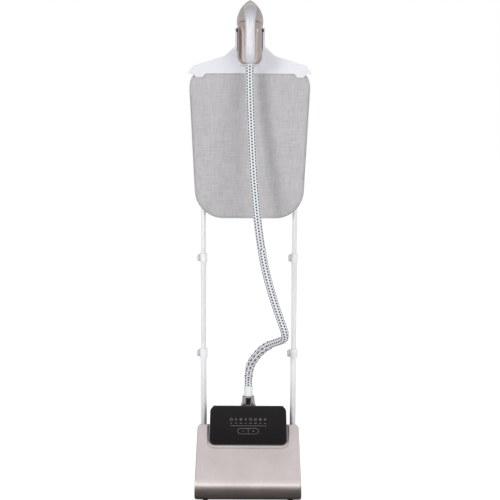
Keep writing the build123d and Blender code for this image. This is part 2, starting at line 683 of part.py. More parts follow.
def lever(x, collar_z, pole_diameter):
    """A bulging clip lever, forked round the collar's lug, with a cam that reaches into the window."""
    pin_x, pin_z = pin_place(x, collar_z, pole_diameter)
    inner_x = pin_x + LEVER_BARREL
    top = pin_z - LEVER_BARREL + LEVER_HEIGHT
    outer_x = inner_x - LEVER_BULGE
    back = Polyline((pin_x, pin_z), (inner_x, pin_z), (inner_x, top), (inner_x - LEVER_BARREL / 2, top))
    bulge = ThreePointArc(
        (inner_x - LEVER_BARREL / 2, top),
        (outer_x, (top + pin_z) / 2),
        (pin_x - LEVER_BARREL / 2, pin_z),
    )
    foot = Line((pin_x - LEVER_BARREL / 2, pin_z), (pin_x, pin_z))
    outline = make_face(Curve() + [back, bulge, foot]) + Pos(pin_x, pin_z) * Circle(LEVER_BARREL)
    outline -= Pos(pin_x, pin_z) * Circle(LEVER_PIN / 2 + PIN_CLEARANCE)
    flap = front_plate(outline, POLE_Y + LEVER_WIDTH / 2, LEVER_WIDTH)
    slot_half = LUG_WIDTH / 2 + LOOSE
    slot_top = pin_z + LEVER_BARREL + LOOSE
    flap -= block(outer_x - 1, inner_x + 1, POLE_Y - slot_half, POLE_Y + slot_half, 0, slot_top)
    cam_low = slot_top + LOOSE
    cam_half = LUG_WIDTH / 2 - LOOSE
    cam_top = cam_low + CAM_HEIGHT / 2
    cam_end = inner_x + CAM_LENGTH
    return flap + block(inner_x - 1, cam_end, POLE_Y - cam_half, POLE_Y + cam_half, cam_low, cam_top)


def lever_pin(x, collar_z, pole_diameter):
    pin_x, pin_z = pin_place(x, collar_z, pole_diameter)
    return rod_y(LEVER_PIN, POLE_Y - LEVER_WIDTH / 2, POLE_Y + LEVER_WIDTH / 2, pin_x, pin_z)


def outlet_flange():
    spigot_bottom = HEAD_TOP - 4 * HEAD_WALL
    flange = rod_z(FLANGE_DIAMETER, HEAD_TOP, FLANGE_TOP, 0, OUTLET_Y)
    flange += rod_z(FLANGE_SPIGOT, spigot_bottom, HEAD_TOP, 0, OUTLET_Y)
    return flange - rod_z(OUTLET_BORE, spigot_bottom, FLANGE_TOP, 0, OUTLET_Y)


def outlet_bell():
    taper = degrees(atan2((BELL_BOTTOM_DIAMETER - BELL_TOP_DIAMETER) / 2, BELL_HEIGHT))
    foot = Plane.XY.offset(FLANGE_TOP) * (Pos(0, OUTLET_Y) * Circle(BELL_BOTTOM_DIAMETER / 2))
    bell = extrude(foot, amount=BELL_HEIGHT, taper=taper)
    bell = fillet(bell.edges().sort_by(Axis.Z)[-1], BELL_HEIGHT / 6)
    return bell - rod_z(OUTLET_BORE, FLANGE_TOP, BELL_TOP, 0, OUTLET_Y)


def hose_route():
    top = [(0, TAIL_Y, TAIL_BOTTOM), (0, TAIL_Y, TAIL_BOTTOM - TAIL_STRAIGHT)]
    foot = [(0, OUTLET_Y, CUFF_TOP + CUFF_STRAIGHT), (0, OUTLET_Y, CUFF_TOP)]
    return [Vector(*point) for point in (*top, *HOSE_CORNERS, *foot)]


def hose_radii(route):
    """At each corner, the largest arc that its two runs allow."""
    radii = []
    for before, corner, after in zip(route, route[1:], route[2:]):
        shorter = min((corner - before).length, (after - corner).length)
        half_turn = radians((corner - before).get_angle(after - corner)) / 2
        radii.append(RUN_SHARE * shorter / tan(half_turn))
    return radii


def hose_stretch(first, last):
    """The hose's path from half way before one corner to half way before another, counted on the route."""
    route = hose_route()
    radii = hose_radii(route)
    begin = route[0] if first == 0 else (route[first - 1] + route[first]) / 2
    end = route[-1] if last == len(route) else (route[last - 1] + route[last]) / 2
    inner_from = max(first, 1)
    inner_to = min(last, len(route) - 1)
    points = [begin, *route[inner_from:inner_to], end]
    return FilletPolyline(*points, radius=radii[inner_from - 1 : inner_to - 1])


def smooth_hose(path):
    ring = Circle(HOSE_DIAMETER / 2) - Circle(HOSE_BORE / 2)
    tube = sweep(Plane(origin=path @ 0, z_dir=path % 0) * ring, path=path)
    wall_area = pi * (HOSE_DIAMETER**2 - HOSE_BORE**2) / 4
    fullness = tube.volume / wall_area / path.length
    print(f"hose stretch {path.length:.0f} mm, volume over section times length {fullness:.4f}")
    return tube


def ribbed_hose(path):
    """The stretch that shows its ribs, with plain ends one diameter long."""
    # Square to the plane that the stretch bends in, so that no section turns against the next.
    steady = (path % 0).cross(path % 0.5)
    first_rib = HOSE_DIAMETER
    ribs = int((path.length - 2 * HOSE_DIAMETER) / RIB_PITCH)
    pitch = (path.length - 2 * HOSE_DIAMETER) / ribs
    crest = HOSE_DIAMETER / 2
    groove = crest - RIB_DEPTH
    stations = [(0, crest)]
    for rib in range(ribs):
        for share, radius in ((0, groove), (0.25, crest), (0.65, crest), (0.9, groove)):
            stations.append((first_rib + (rib + share) * pitch, radius))
    stations += [(path.length - HOSE_DIAMETER, crest), (path.length, crest)]
    outside = []
    bore = []
    for along, radius in stations:
        share = along / path.length
        direction = path % share
        x_dir = steady - direction * steady.dot(direction)
        plane = Plane(origin=path @ share, x_dir=x_dir, z_dir=direction)
        outside.append(plane * Circle(radius))
        bore.append(plane * Circle(HOSE_BORE / 2))
    print(f"ribbed stretch {path.length:.0f} mm with {ribs} ribs")
    return loft(outside, ruled=True) - loft(bore, ruled=True)


def hanger_outline(inset):
    """The hanger's right half from the front: flat underside, sloping shoulder and middle column."""
    shoulder = [
        (0, HANGER_BOTTOM),
        (HANGER_HALF_SPAN, HANGER_BOTTOM - TIP_DROP),
        (HANGER_HALF_SPAN - TIP_INSET, HANGER_BOTTOM + TIP_RISE),
        (HANGER_COLUMN_HALF + SHOULDER_REACH, HANGER_BOTTOM + SHOULDER_RISE),
        (HANGER_COLUMN_HALF + NECK_FLARE, HANGER_BOTTOM + NECK_RISE),
        (HANGER_COLUMN_HALF, HANGER_COLUMN_TOP),
        (0, HANGER_COLUMN_TOP),
    ]
    curve = FilletPolyline(*shoulder, radius=SHOULDER_ROUNDS)
    face = make_face(Curve() + [curve, Line(shoulder[-1], shoulder[0])])
    face = face + mirror(face, about=Plane.YZ)
    return offset(face, amount=-inset) if inset else face


def hanger():
    depth = HANGER_BACK - HANGER_FRONT
    body = front_plate(hanger_outline(0), HANGER_BACK, depth)
    hollow = front_plate(hanger_outline(HANGER_WALL), HANGER_BACK - HANGER_WALL, depth - 2 * HANGER_WALL)
    mouth_half = HANGER_HALF_SPAN - 5 * HANGER_WALL
    hollow += block(
        -mouth_half,
        mouth_half,
        HANGER_FRONT + HANGER_WALL,
        HANGER_BACK - HANGER_WALL,
        HANGER_BOTTOM - 2,
        HANGER_BOTTOM + 2 * HANGER_WALL,
    )
    body -= hollow
    tab = make_face(
        Polyline(
            (TAB_INNER, HANGER_BOTTOM + HANGER_WALL),
            (TAB_INNER + TAB_DROP, HANGER_BOTTOM - TAB_DROP),
            (TAB_OUTER - TAB_DROP, HANGER_BOTTOM - TAB_DROP),
            (TAB_OUTER, HANGER_BOTTOM + HANGER_WALL),
            close=True,
        )
    )
    tab = fillet(tab.vertices().sort_by(Axis.Y)[:2], TAB_DROP / 3)
    tab_plate = front_plate(tab, HANGER_FRONT + HANGER_WALL, HANGER_WALL)
    body += tab_plate + mirrored(tab_plate)
    for x in (-POLE_SPACING / 2, POLE_SPACING / 2):
        cap_outer = UPPER_POLE_DIAMETER + 2 * (FIT + POLE_CAP_WALL)
        cap_top = UPPER_POLE_TOP + 3 * HANGER_WALL
        cap = rod_z(cap_outer, HANGER_BOTTOM, cap_top, x, POLE_Y)
        web_left = x - cap_outer / 2
        web_right = x + cap_outer / 2
        web_back = HANGER_BACK - HANGER_WALL / 2
        cap += block(web_left, web_right, POLE_Y, web_back, HANGER_BOTTOM, UPPER_POLE_TOP)
        body += cap & front_plate(hanger_outline(HANGER_WALL / 2), HANGER_BACK, depth)
        body -= rod_z(UPPER_POLE_DIAMETER + 2 * FIT, HANGER_BOTTOM - 1, UPPER_POLE_TOP, x, POLE_Y)
    for x, z in cradle_screw_places():
        body -= rod_y(SCREW_DIAMETER + 2 * FIT, HANGER_FRONT - 1, HANGER_FRONT + HANGER_WALL + 1, x, z)
    return body


def cradle_screw_places():
    return [(x, z) for x in (-CRADLE_SCREW_X, CRADLE_SCREW_X) for z in CRADLE_SCREW_Z]


def cradle():
    """A plate on the hanger with two side fences and a lip under the iron's heel."""
    half = CRADLE_HALF_WIDTH
    plate = block(-half, half, CRADLE_FRONT, HANGER_FRONT, FENCE_BOTTOM, CRADLE_TOP)
    foot_half = (CRADLE_HALF_WIDTH + LIP_HALF_WIDTH) / 2
    plate += block(-foot_half, foot_half, CRADLE_FRONT, HANGER_FRONT, CRADLE_BOTTOM, CRADLE_TOP)
    plate += block(
        -LIP_HALF_WIDTH,
        LIP_HALF_WIDTH,
        CRADLE_FRONT - LIP_DEPTH,
        HANGER_FRONT,
        CRADLE_BOTTOM,
        CRADLE_BOTTOM + LIP_THICKNESS,
    )
    fence = block(
        CRADLE_HALF_WIDTH - FENCE_THICKNESS,
        CRADLE_HALF_WIDTH,
        CRADLE_FRONT - FENCE_DEPTH,
        HANGER_FRONT,
        FENCE_BOTTOM,
        CRADLE_TOP,
    )
    front_edges = fence.edges().filter_by(Axis.X).sort_by(Axis.Y)[:2]
    fence = fillet(front_edges, FENCE_ROUND) - upper_pad(FIT)
    plate += fence + mirrored(fence)
    for x, z in cradle_screw_places():
        plate -= rod_y(SCREW_DIAMETER + 2 * FIT, CRADLE_FRONT - 1, HANGER_FRONT + 1, x, z)
        plate -= rod_y(SCREW_HEAD + 2 * FIT, CRADLE_FRONT - 1, CRADLE_FRONT + SCREW_HEAD_HEIGHT, x, z)
    return plate


def upper_pad(gap):
    """The pad in the notch at the top of the right fence, grown by gap for the notch itself."""
    inner = CRADLE_HALF_WIDTH - FENCE_THICKNESS
    top = CRADLE_TOP - PAD_MARGIN
    return block(
        inner - PAD_THICKNESS,
        inner + PAD_SINK + gap,
        CRADLE_FRONT - FENCE_DEPTH,
        CRADLE_FRONT - PAD_MARGIN + gap,
        top - PAD_HEIGHT - gap,
        top + gap,
    )


def cradle_pads():
    """Two pads in notches at the top of the fences and two on their inner faces lower down."""
    upper = upper_pad(0)
    inner = CRADLE_HALF_WIDTH - FENCE_THICKNESS
    low = FENCE_BOTTOM + PAD_MARGIN
    middle = CRADLE_FRONT - FENCE_DEPTH / 2
    lower = block(inner - PAD_THICKNESS, inner, middle, CRADLE_FRONT - PAD_MARGIN, low, low + PAD_HEIGHT)
    return [upper, mirrored(upper), lower, mirrored(lower)]


def cradle_screws():
    screws = []
    for x, z in cradle_screw_places():
        head = rod_y(SCREW_HEAD, CRADLE_FRONT, CRADLE_FRONT + SCREW_HEAD_HEIGHT, x, z)
        screws.append(head + rod_y(SCREW_DIAMETER, CRADLE_FRONT, CRADLE_FRONT + CRADLE_SCREW_LENGTH, x, z))
    return screws


def board_outline(inset):
    outline = make_face(
        Polyline(
            (-BOARD_BOTTOM_HALF, BOARD_BOTTOM),
            (BOARD_BOTTOM_HALF, BOARD_BOTTOM),
            (BOARD_TOP_HALF, BOARD_TOP),
            (-BOARD_TOP_HALF, BOARD_TOP),
            close=True,
        )
    )
    outline = fillet(outline.vertices().sort_by(Axis.Y)[:2], BOARD_BOTTOM_CORNER)
    outline = fillet(outline.vertices().sort_by(Axis.Y)[-2:], BOARD_TOP_CORNER)
    return offset(outline, amount=-inset) if inset else outline


def board_cover():
    """The padded cover, with a rounded front edge and a back edge that draws in."""
    pad = front_plate(board_outline(0), COVER_BACK, COVER_THICKNESS)
    front_edges = pad.faces().sort_by(Axis.Y)[0].outer_wire().edges()
    return fillet(front_edges, COVER_CROWN)


def board_core():
    return front_plate(board_outline(CORE_INSET), CORE_BACK, CORE_THICKNESS)


def board_clips():
    """Four clips behind the board, each round an upper pole."""
    clips = []
    outer = UPPER_POLE_DIAMETER + 2 * (FIT + BOARD_CLIP_WALL)
    for x in (-POLE_SPACING / 2, POLE_SPACING / 2):
        for z in BOARD_CLIP_Z:
            clip = rod_z(outer, z, z + BOARD_CLIP_HEIGHT, x, POLE_Y)
            clip += block(x - outer / 3, x + outer / 3, CORE_BACK, POLE_Y, z, z + BOARD_CLIP_HEIGHT)
            clips.append(clip - rod_z(UPPER_POLE_DIAMETER + 2 * FIT, z, z + BOARD_CLIP_HEIGHT, x, POLE_Y))
    return clips


def iron_outline(inset):
    """The iron from the front, drawn in by inset: rounded heel, upright sides, wider shoulder, pointed tip."""
    bottom = IRON_BOTTOM + inset
    heel = (IRON_WAIST_HALF - inset, bottom)
    waist = (IRON_WAIST_HALF - inset, IRON_WAIST_Z)
    shoulder = (IRON_HALF_WIDTH - inset, IRON_WIDEST_Z)
    tip = (0, IRON_TIP - inset)
    side = Polyline((0, bottom), heel, waist, shoulder)
    ogive = TangentArc(shoulder, tip, tangent=(0, 1))
    face = make_face(Curve() + [side, ogive, Line(tip, (0, bottom))])
    face = face + mirror(face, about=Plane.YZ)
    rounds = [(tip, IRON_TIP_ROUND)]
    for x, z, radius in (
        (*heel, IRON_HEEL_ROUND),
        (*waist, IRON_WAIST_ROUND),
        (*shoulder, IRON_WAIST_ROUND),
    ):
        rounds += [((x, z), radius), ((-x, z), radius)]
    for corner, radius in rounds:
        face = fillet(face.vertices().sort_by_distance((*corner, 0))[0], radius)
    return face


def iron_soleplate():
    sole = front_plate(iron_outline(SOLE_INSET), SOLE_BACK, SOLE_THICKNESS)
    for row in range(STEAM_HOLE_ROWS):
        z = IRON_WIDEST_Z + STEAM_HOLE_PITCH * (1 - row)
        x = IRON_HALF_WIDTH * (0.55 if row else 0.3)
        for hole_x in (-x, x):
            sole -= rod_y(STEAM_HOLE, SKIRT_BACK - 1, SOLE_BACK + 1, hole_x, z)
    return sole


def iron_skirt():
    skirt = front_plate(iron_outline(0), SKIRT_BACK, SKIRT_THICKNESS)
    return fillet(skirt.faces().sort_by(Axis.Y)[0].outer_wire().edges(), SKIRT_ROUND)


def iron_shell():
    """The glossy body on the skirt, rounded over towards the handle."""
    sections = []
    bottom = IRON_BOTTOM + IRON_BODY_INSET
    for step in range(IRON_BODY_STEPS + 1):
        turn = radians(90 * step / IRON_BODY_STEPS)
        half = IRON_WAIST_HALF - IRON_BODY_INSET - IRON_BODY_ROUND * (1 - cos(turn))
        top = IRON_BODY_TOP - IRON_BODY_FALL * (1 - cos(turn))
        outline = RectangleRounded(2 * half, top - bottom, IRON_BODY_CORNER * half)
        plane = Plane.XZ.offset(-SKIRT_FRONT + IRON_BODY_DEPTH * sin(turn))
        sections.append(plane * (Pos(0, (top + bottom) / 2) * outline))
    shell = loft(sections)
    return shell - rod_z(TAIL_DIAMETER + 2 * FIT, IRON_BOTTOM - 1, TAIL_BOTTOM + TAIL_HEIGHT, 0, TAIL_Y)


def handle_sections():
    """Places along the handle from the tip to the heel: Y, Z, direction in Y and Z, width, thickness."""
    reach = -HANDLE_REACH
    tip_z = IRON_TIP - HANDLE_TIP_DROP
    heel_z = IRON_BOTTOM + HANDLE_HEEL_RISE
    return [
        (SKIRT_FRONT, tip_z, (-1, 0), 20, 20),
        (SKIRT_FRONT - 32, tip_z - 1, (-0.94, -0.34), 31, 23),
        (reach + 12, IRON_BODY_TOP + 25, (-0.5, -0.87), 39, GRIP_THICKNESS),
        (reach, IRON_BODY_TOP - 4, (0, -1), GRIP_WIDTH + 2, GRIP_THICKNESS),
        (reach, IRON_BODY_TOP - 78, (0, -1), GRIP_WIDTH, GRIP_THICKNESS),
        (reach + 7, heel_z + 19, (0.36, -0.93), GRIP_WIDTH - 1, 23),
        (IRON_BODY_FRONT - 16, heel_z + 1, (0.97, -0.24), GRIP_WIDTH - 2, 20),
        (IRON_BODY_FRONT, heel_z, (1, 0), GRIP_WIDTH - 2, 19),
    ]


def trigger_pin_place():
    """The trigger's pin in Y and Z, just inside the grip's rear face."""
    pin_y = -HANDLE_REACH + (GRIP_THICKNESS - TRIGGER_THICKNESS) / 2
    return pin_y, TRIGGER_TOP - TRIGGER_THICKNESS / 2


def iron_handle():
    sections = []
    for y, z, (along_y, along_z), width, thickness in handle_sections():
        plane = Plane(origin=(0, y, z), x_dir=(1, 0, 0), z_dir=(0, along_y, along_z))
        sections.append(plane * Ellipse(width / 2, thickness / 2))
    handle = loft(sections)
    pin_y, pin_z = trigger_pin_place()
    half = TRIGGER_WIDTH / 2 + LOOSE
    pocket_depth = TRIGGER_THICKNESS * 1.5
    handle -= block(
        -half,
        half,
        pin_y - pocket_depth / 2,
        pin_y + pocket_depth,
        TRIGGER_TOP - TRIGGER_LENGTH - 2 * LOOSE,
        TRIGGER_TOP + 2 * LOOSE,
    )
    return handle - rod_x(TRIGGER_PIN + FIT, -trigger_pin_half(), trigger_pin_half(), pin_y, pin_z)


def trigger_pin_half():
    return TRIGGER_WIDTH / 2 + TRIGGER_PIN


def steam_trigger():
    """The trigger under the grip, hinged at its top, pressed in towards the grip."""
    pin_y, pin_z = trigger_pin_place()
    barrel = TRIGGER_THICKNESS / 2
    low = TRIGGER_TOP - TRIGGER_LENGTH
    outline = Pos(pin_y, pin_z) * Circle(barrel)
    outline += make_face(
        Polyline(
            (pin_y, pin_z + barrel),
            (pin_y + barrel, pin_z),
            (pin_y + 1.9 * barrel, low + barrel),
            (pin_y + 1.5 * barrel, low),
            (pin_y + 0.2 * barrel, low),
            (pin_y - 0.3 * barrel, pin_z),
            close=True,
        )
    )
    outline -= Pos(pin_y, pin_z) * Circle(TRIGGER_PIN / 2 + PIN_CLEARANCE)
    return side_plate(outline, 0, TRIGGER_WIDTH)


def iron_tail():
    tail = rod_z(TAIL_DIAMETER, TAIL_BOTTOM, TAIL_BOTTOM + TAIL_HEIGHT, 0, TAIL_Y)
    tail = fillet(tail.edges().sort_by(Axis.Z)[0], TAIL_ROUND)
    return tail - rod_z(HOSE_BORE, TAIL_BOTTOM, TAIL_BOTTOM + TAIL_HEIGHT, 0, TAIL_Y)


def tank_block(inset):
    half = TANK_WIDTH / 2 - inset
    tank = block(-half, half, TANK_FRONT + inset, TANK_BACK - inset, TANK_BOTTOM + inset, TANK_TOP - inset)
    return fillet(tank.edges().filter_by(Axis.Z), TANK_CORNER - inset)


def cap_hinge():
    """The filler cap's hinge line, in Y and Z."""
    return TANK_Y + NECK_DIAMETER / 2 + CAP_LUG_RADIUS + LOOSE, TANK_TOP + NECK_HEIGHT + CAP_HEIGHT / 2


def tank_body():
    """The water tank with its filler neck, the cap's hinge and a cage over the bottom valve."""
    tank = tank_block(0)
    neck_top = TANK_TOP + NECK_HEIGHT
    tank += rod_z(NECK_DIAMETER, TANK_TOP - 1, neck_top, 0, TANK_Y)
    hinge_y, hinge_z = cap_hinge()
    lug = Pos(hinge_y, hinge_z) * Circle(CAP_LUG_RADIUS)
    lug += Pos(hinge_y, (hinge_z + TANK_TOP) / 2) * Rectangle(2 * CAP_LUG_RADIUS, hinge_z - TANK_TOP)
    lug_x = CAP_KNUCKLE_WIDTH / 2 + LOOSE + CAP_PIN / 2
    for x in (-lug_x, lug_x):
        tank += side_plate(lug, x, CAP_PIN)
    tank -= tank_block(TANK_WALL)
    tank -= rod_z(NECK_BORE, TANK_TOP - 2 * TANK_WALL, neck_top, 0, TANK_Y)
    tank += rod_x(CAP_PIN, -lug_x, lug_x, hinge_y, hinge_z)
    tank -= rod_z(VALVE_HOLE, TANK_BOTTOM - 1, TANK_BOTTOM + 2 * TANK_WALL, 0, TANK_Y)
    floor = TANK_BOTTOM + TANK_WALL
    cage_bottom = floor + SEAT_GAP + VALVE_HEAD_HEIGHT + SPRING_HEIGHT + FIT
    post_x = VALVE_HEAD / 2 + CAGE_THICKNESS
    cage_top = cage_bottom + CAGE_THICKNESS
    cage_front = TANK_Y - CAGE_THICKNESS
    cage_back = TANK_Y + CAGE_THICKNESS
    cage = block(-post_x, post_x, cage_front, cage_back, cage_bottom, cage_top)
    post_foot = floor - TANK_WALL / 2
    post = block(post_x - CAGE_THICKNESS, post_x, cage_front, cage_back, post_foot, cage_top)
    return tank + cage + post + mirrored(post)


def tank_cap():
    hinge_y, hinge_z = cap_hinge()
    bottom = TANK_TOP + NECK_HEIGHT + SEAT_GAP
    top = bottom + CAP_HEIGHT
    cap = rod_z(NECK_DIAMETER, bottom, top, 0, TANK_Y)
    cap = fillet(cap.edges().sort_by(Axis.Z)[-1], CAP_HEIGHT / 4)
    cap += rod_z(NECK_BORE - 2 * CAP_PLUG_GAP, bottom - CAP_PLUG_DEPTH, bottom, 0, TANK_Y)
    arm_half = CAP_KNUCKLE_WIDTH / 2
    cap += block(-arm_half, arm_half, TANK_Y + NECK_DIAMETER / 4, hinge_y, bottom, bottom + CAP_HEIGHT / 2)
    cap += rod_x(2 * CAP_LUG_RADIUS, -arm_half, arm_half, hinge_y, hinge_z)
    return cap - rod_x(CAP_PIN + 2 * PIN_CLEARANCE, -arm_half, arm_half, hinge_y, hinge_z)


def tank_valve():
    seat = TANK_BOTTOM + TANK_WALL + SEAT_GAP
    stem = rod_z(VALVE_STEM, TANK_BOTTOM + SEAT_GAP, seat, 0, TANK_Y)
    return stem + rod_z(VALVE_HEAD, seat, seat + VALVE_HEAD_HEIGHT, 0, TANK_Y)


def valve_spring():
    bottom = TANK_BOTTOM + TANK_WALL + SEAT_GAP + VALVE_HEAD_HEIGHT
    return sleeve_z(SPRING_OUTER, SPRING_INNER, bottom, bottom + SPRING_HEIGHT, 0, TANK_Y)


def tank_seat():
    """The lining of the tank bay, with the spigot that leads the water down to the pump."""
    seat = tank_bay(0) - tank_bay(BAY_WALL)
    seat &= block(-BASE_WIDTH, BASE_WIDTH, 0, BACK - 1, 0, DECK_Z)
    spigot_outer = VALVE_HOLE + 2 * SPIGOT_WALL
    spigot_bottom = SEAT_BOTTOM - SPIGOT_LENGTH
    seat += rod_z(spigot_outer, spigot_bottom, SEAT_TOP, 0, TANK_Y)
    seat -= rod_z(VALVE_HOLE, spigot_bottom + SPIGOT_WALL, SEAT_TOP, 0, TANK_Y)
    seat -= rod_z(PIPE_BORE, spigot_bottom, SEAT_TOP, 0, TANK_Y)
    return seat - rod_z(SEAL_OUTER + 2 * FIT, SEAT_TOP - SEAL_THICKNESS, SEAT_TOP, 0, TANK_Y)


def tank_seal():
    return sleeve_z(SEAL_OUTER, VALVE_HOLE, SEAT_TOP - SEAL_THICKNESS, SEAT_TOP, 0, TANK_Y)


def boiler():
    """A hollow drum with a boss for the steam pipe, one for the thermostat and a hole for the element."""
    half = BOILER_LENGTH / 2
    top = BOILER_Z + BOILER_DIAMETER / 2
    drum = rod_x(BOILER_DIAMETER, -half, half, BOILER_Y, BOILER_Z)
    for x in (0, THERMOSTAT_X):
        drum += rod_z(BOILER_BOSS, BOILER_Z, top + BOILER_BOSS_HEIGHT, x, BOILER_Y)
    inner = BOILER_DIAMETER - 2 * BOILER_WALL
    drum -= rod_x(inner, -half + BOILER_WALL, half - BOILER_WALL, BOILER_Y, BOILER_Z)
    drum -= rod_z(PIPE_BORE, BOILER_Z, top + BOILER_BOSS_HEIGHT, 0, BOILER_Y)
    return drum - rod_x(ELEMENT_DIAMETER + 2 * FIT, 0, BOILER_LENGTH, BOILER_Y, BOILER_Z - ELEMENT_DROP)


def heating_element():
    half = BOILER_LENGTH / 2
    return rod_x(ELEMENT_DIAMETER, -half * 0.8, half + ELEMENT_TAIL, BOILER_Y, BOILER_Z - ELEMENT_DROP)


def thermostat():
    bottom = BOILER_Z + BOILER_DIAMETER / 2 + BOILER_BOSS_HEIGHT
    return rod_z(THERMOSTAT_DIAMETER, bottom, bottom + THERMOSTAT_HEIGHT, THERMOSTAT_X, BOILER_Y)


def pump():
    middle = Pos(PUMP_X, BOILER_Y, PAN_TOP + PUMP_HEIGHT / 2)
    body = middle * Box(PUMP_WIDTH, PUMP_DEPTH, PUMP_HEIGHT)
    return fillet(body.edges().filter_by(Axis.Z), PUMP_WIDTH / 8)


def pipe(diameter, *points):
    path = FilletPolyline(*points, radius=PIPE_BEND)
    section = Plane(origin=path @ 0, z_dir=path % 0) * (Circle(diameter / 2) - Circle(PIPE_BORE / 2))
    return sweep(section, path=path)


def water_pipe():
    """From the tank seat's spigot down and round to the back of the pump."""
    start_z = SEAT_BOTTOM - SPIGOT_LENGTH
    low = start_z - PIPE_BEND - 2
    along_y = TANK_Y - 2 * PIPE_BEND - 2
    pump_back = BOILER_Y + PUMP_DEPTH / 2
    return pipe(
        WATER_PIPE,
        (0, TANK_Y, start_z),
        (0, TANK_Y, low),
        (0, along_y, low),
        (PUMP_X, along_y, low),
        (PUMP_X, pump_back, low),
    )


def feed_pipe():
    """From the top of the pump into the end of the boiler."""
    height = BOILER_Z + BOILER_DIAMETER / 4
    pump_top = (PUMP_X, BOILER_Y, PAN_TOP + PUMP_HEIGHT)
    boiler_end = (-BOILER_LENGTH / 2, BOILER_Y, height)
    return pipe(WATER_PIPE, pump_top, (PUMP_X, BOILER_Y, height), boiler_end)


def steam_pipe():
    """From the boiler's boss up to the outlet."""
    start_z = BOILER_Z + BOILER_DIAMETER / 2 + BOILER_BOSS_HEIGHT
    end_z = HEAD_TOP - 4 * HEAD_WALL
    bend_z = (start_z + end_z) / 2
    lean = (OUTLET_Y - BOILER_Y) / 3
    return pipe(
        STEAM_PIPE,
        (0, BOILER_Y, start_z),
        (0, BOILER_Y, bend_z - lean),
        (0, OUTLET_Y, bend_z + lean),
        (0, OUTLET_Y, end_z),
    )


def cord_gland():
    gland = rod_y(GLAND_DIAMETER, BACK - GLAND_LENGTH, BACK, GLAND_X, GLAND_Z)
    return gland - rod_y(GLAND_BORE, BACK - GLAND_LENGTH, BACK, GLAND_X, GLAND_Z)


def save_base():
    save("base_shell", base_shell())
    save("base_pan", base_pan())
    save("base_screws", *base_screws())
    save("rubber_feet", *rubber_feet())
    reach = axle_half_length()
    places = (-WHEEL_X, WHEEL_X)
    save("wheel_axles", *[rod_x(AXLE_DIAMETER, x - reach, x + reach, WHEEL_Y, WHEEL_Z) for x in places])
    save("panel_bezel", panel_bezel())
    save("panel_glass", panel_glass())
    save("head_housing", head_housing())
    save("control_board", control_board())
    save("outlet_flange", outlet_flange())
    save("outlet_bell", outlet_bell())
    save("hose_cuff", sleeve_z(CUFF_DIAMETER, HOSE_BORE, BELL_TOP, CUFF_TOP, 0, OUTLET_Y))
    save("boiler", boiler())
    save("heating_element", heating_element())
    save("thermostat", thermostat())
    save("pump", pump())
    save("water_pipe", water_pipe())
    save("feed_pipe", feed_pipe())
    save("steam_pipe", steam_pipe())
    save("cord_gland", cord_gland())
    for side, sign in SIDES.items():
        save(f"wheel_{side}", wheel(sign * WHEEL_X))


def save_poles():
    places = {side: sign * POLE_SPACING / 2 for side, sign in SIDES.items()}
    lower = (LOWER_COLLAR_Z, LOWER_POLE_DIAMETER)
    upper = (UPPER_COLLAR_Z, MIDDLE_POLE_DIAMETER)
    lower_foot = PAN_TOP + SOCKET_FLOOR
    upper_foot = MIDDLE_POLE_TOP - POLE_OVERLAP
    save("pole_sockets", *[pole_socket(x) for x in places.values()])
    lower_pole = (LOWER_POLE_DIAMETER, lower_foot, LOWER_POLE_TOP)
    middle_pole = (MIDDLE_POLE_DIAMETER, LOWER_POLE_TOP - POLE_OVERLAP, MIDDLE_POLE_TOP)
    upper_pole = (UPPER_POLE_DIAMETER, upper_foot, UPPER_POLE_TOP)
    save("lower_poles", *[pole(*lower_pole, x) for x in places.values()])
    save("lower_collars", *[collar(x, *lower) for x in places.values()])
    save("lower_collar_pins", *[lever_pin(x, *lower) for x in places.values()])
    save("upper_poles", *[pole(*upper_pole, x) for x in places.values()])
    for side, x in places.items():
        save(f"lower_lever_{side}", lever(x, *lower))
        save(f"middle_pole_{side}", pole(*middle_pole, x))
        save(f"upper_collar_{side}", collar(x, *upper))
        save(f"upper_collar_pin_{side}", lever_pin(x, *upper))
        save(f"upper_lever_{side}", lever(x, *upper))


def save_hose():
    route = hose_route()
    print("hose radii", [round(radius) for radius in hose_radii(route)])
    save("hose_top", smooth_hose(hose_stretch(0, MIDDLE_HOSE_FROM + 2)))
    save("hose_middle", smooth_hose(hose_stretch(MIDDLE_HOSE_FROM + 2, LOWER_HOSE_FROM + 2)))
    lower_smooth = smooth_hose(hose_stretch(LOWER_HOSE_FROM + 2, RIBBED_FROM + 2))
    save("hose_lower", lower_smooth, ribbed_hose(hose_stretch(RIBBED_FROM + 2, len(route))))


def save_hanger():
    save("hanger", hanger())
    save("cradle", cradle())
    save("cradle_pads", *cradle_pads())
    save("cradle_screws", *cradle_screws())
    save("board_cover", board_cover())
    save("board_core", board_core())
    save("board_clips", *board_clips())


def save_iron():
    save("iron_soleplate", iron_soleplate())
    save("iron_skirt", iron_skirt())
    save("iron_shell", iron_shell())
    save("iron_handle", iron_handle())
    save("iron_tail", iron_tail())
    save("steam_trigger", steam_trigger())
    pin_y, pin_z = trigger_pin_place()
    save("trigger_pin", rod_x(TRIGGER_PIN, -trigger_pin_half(), trigger_pin_half(), pin_y, pin_z))


def save_tank():
    save("tank_body", tank_body())
    save("tank_cap", tank_cap())
    save("tank_valve", tank_valve())
    save("valve_spring", valve_spring())
    save("tank_seat", tank_seat())
    save("tank_seal", tank_seal())


os.makedirs("parts", exist_ok=True)
save_base()
save_poles()
save_hose()
save_hanger()
save_iron()
save_tank()
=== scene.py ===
"""Garment steamer on a telescopic twin-pole stand: finishes, soft pieces, light and camera.

Metres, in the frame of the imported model: X to the right, Y to the back, Z up, the floor at zero.
"""

import math

import bmesh
import bpy
from mathutils import Matrix, Vector


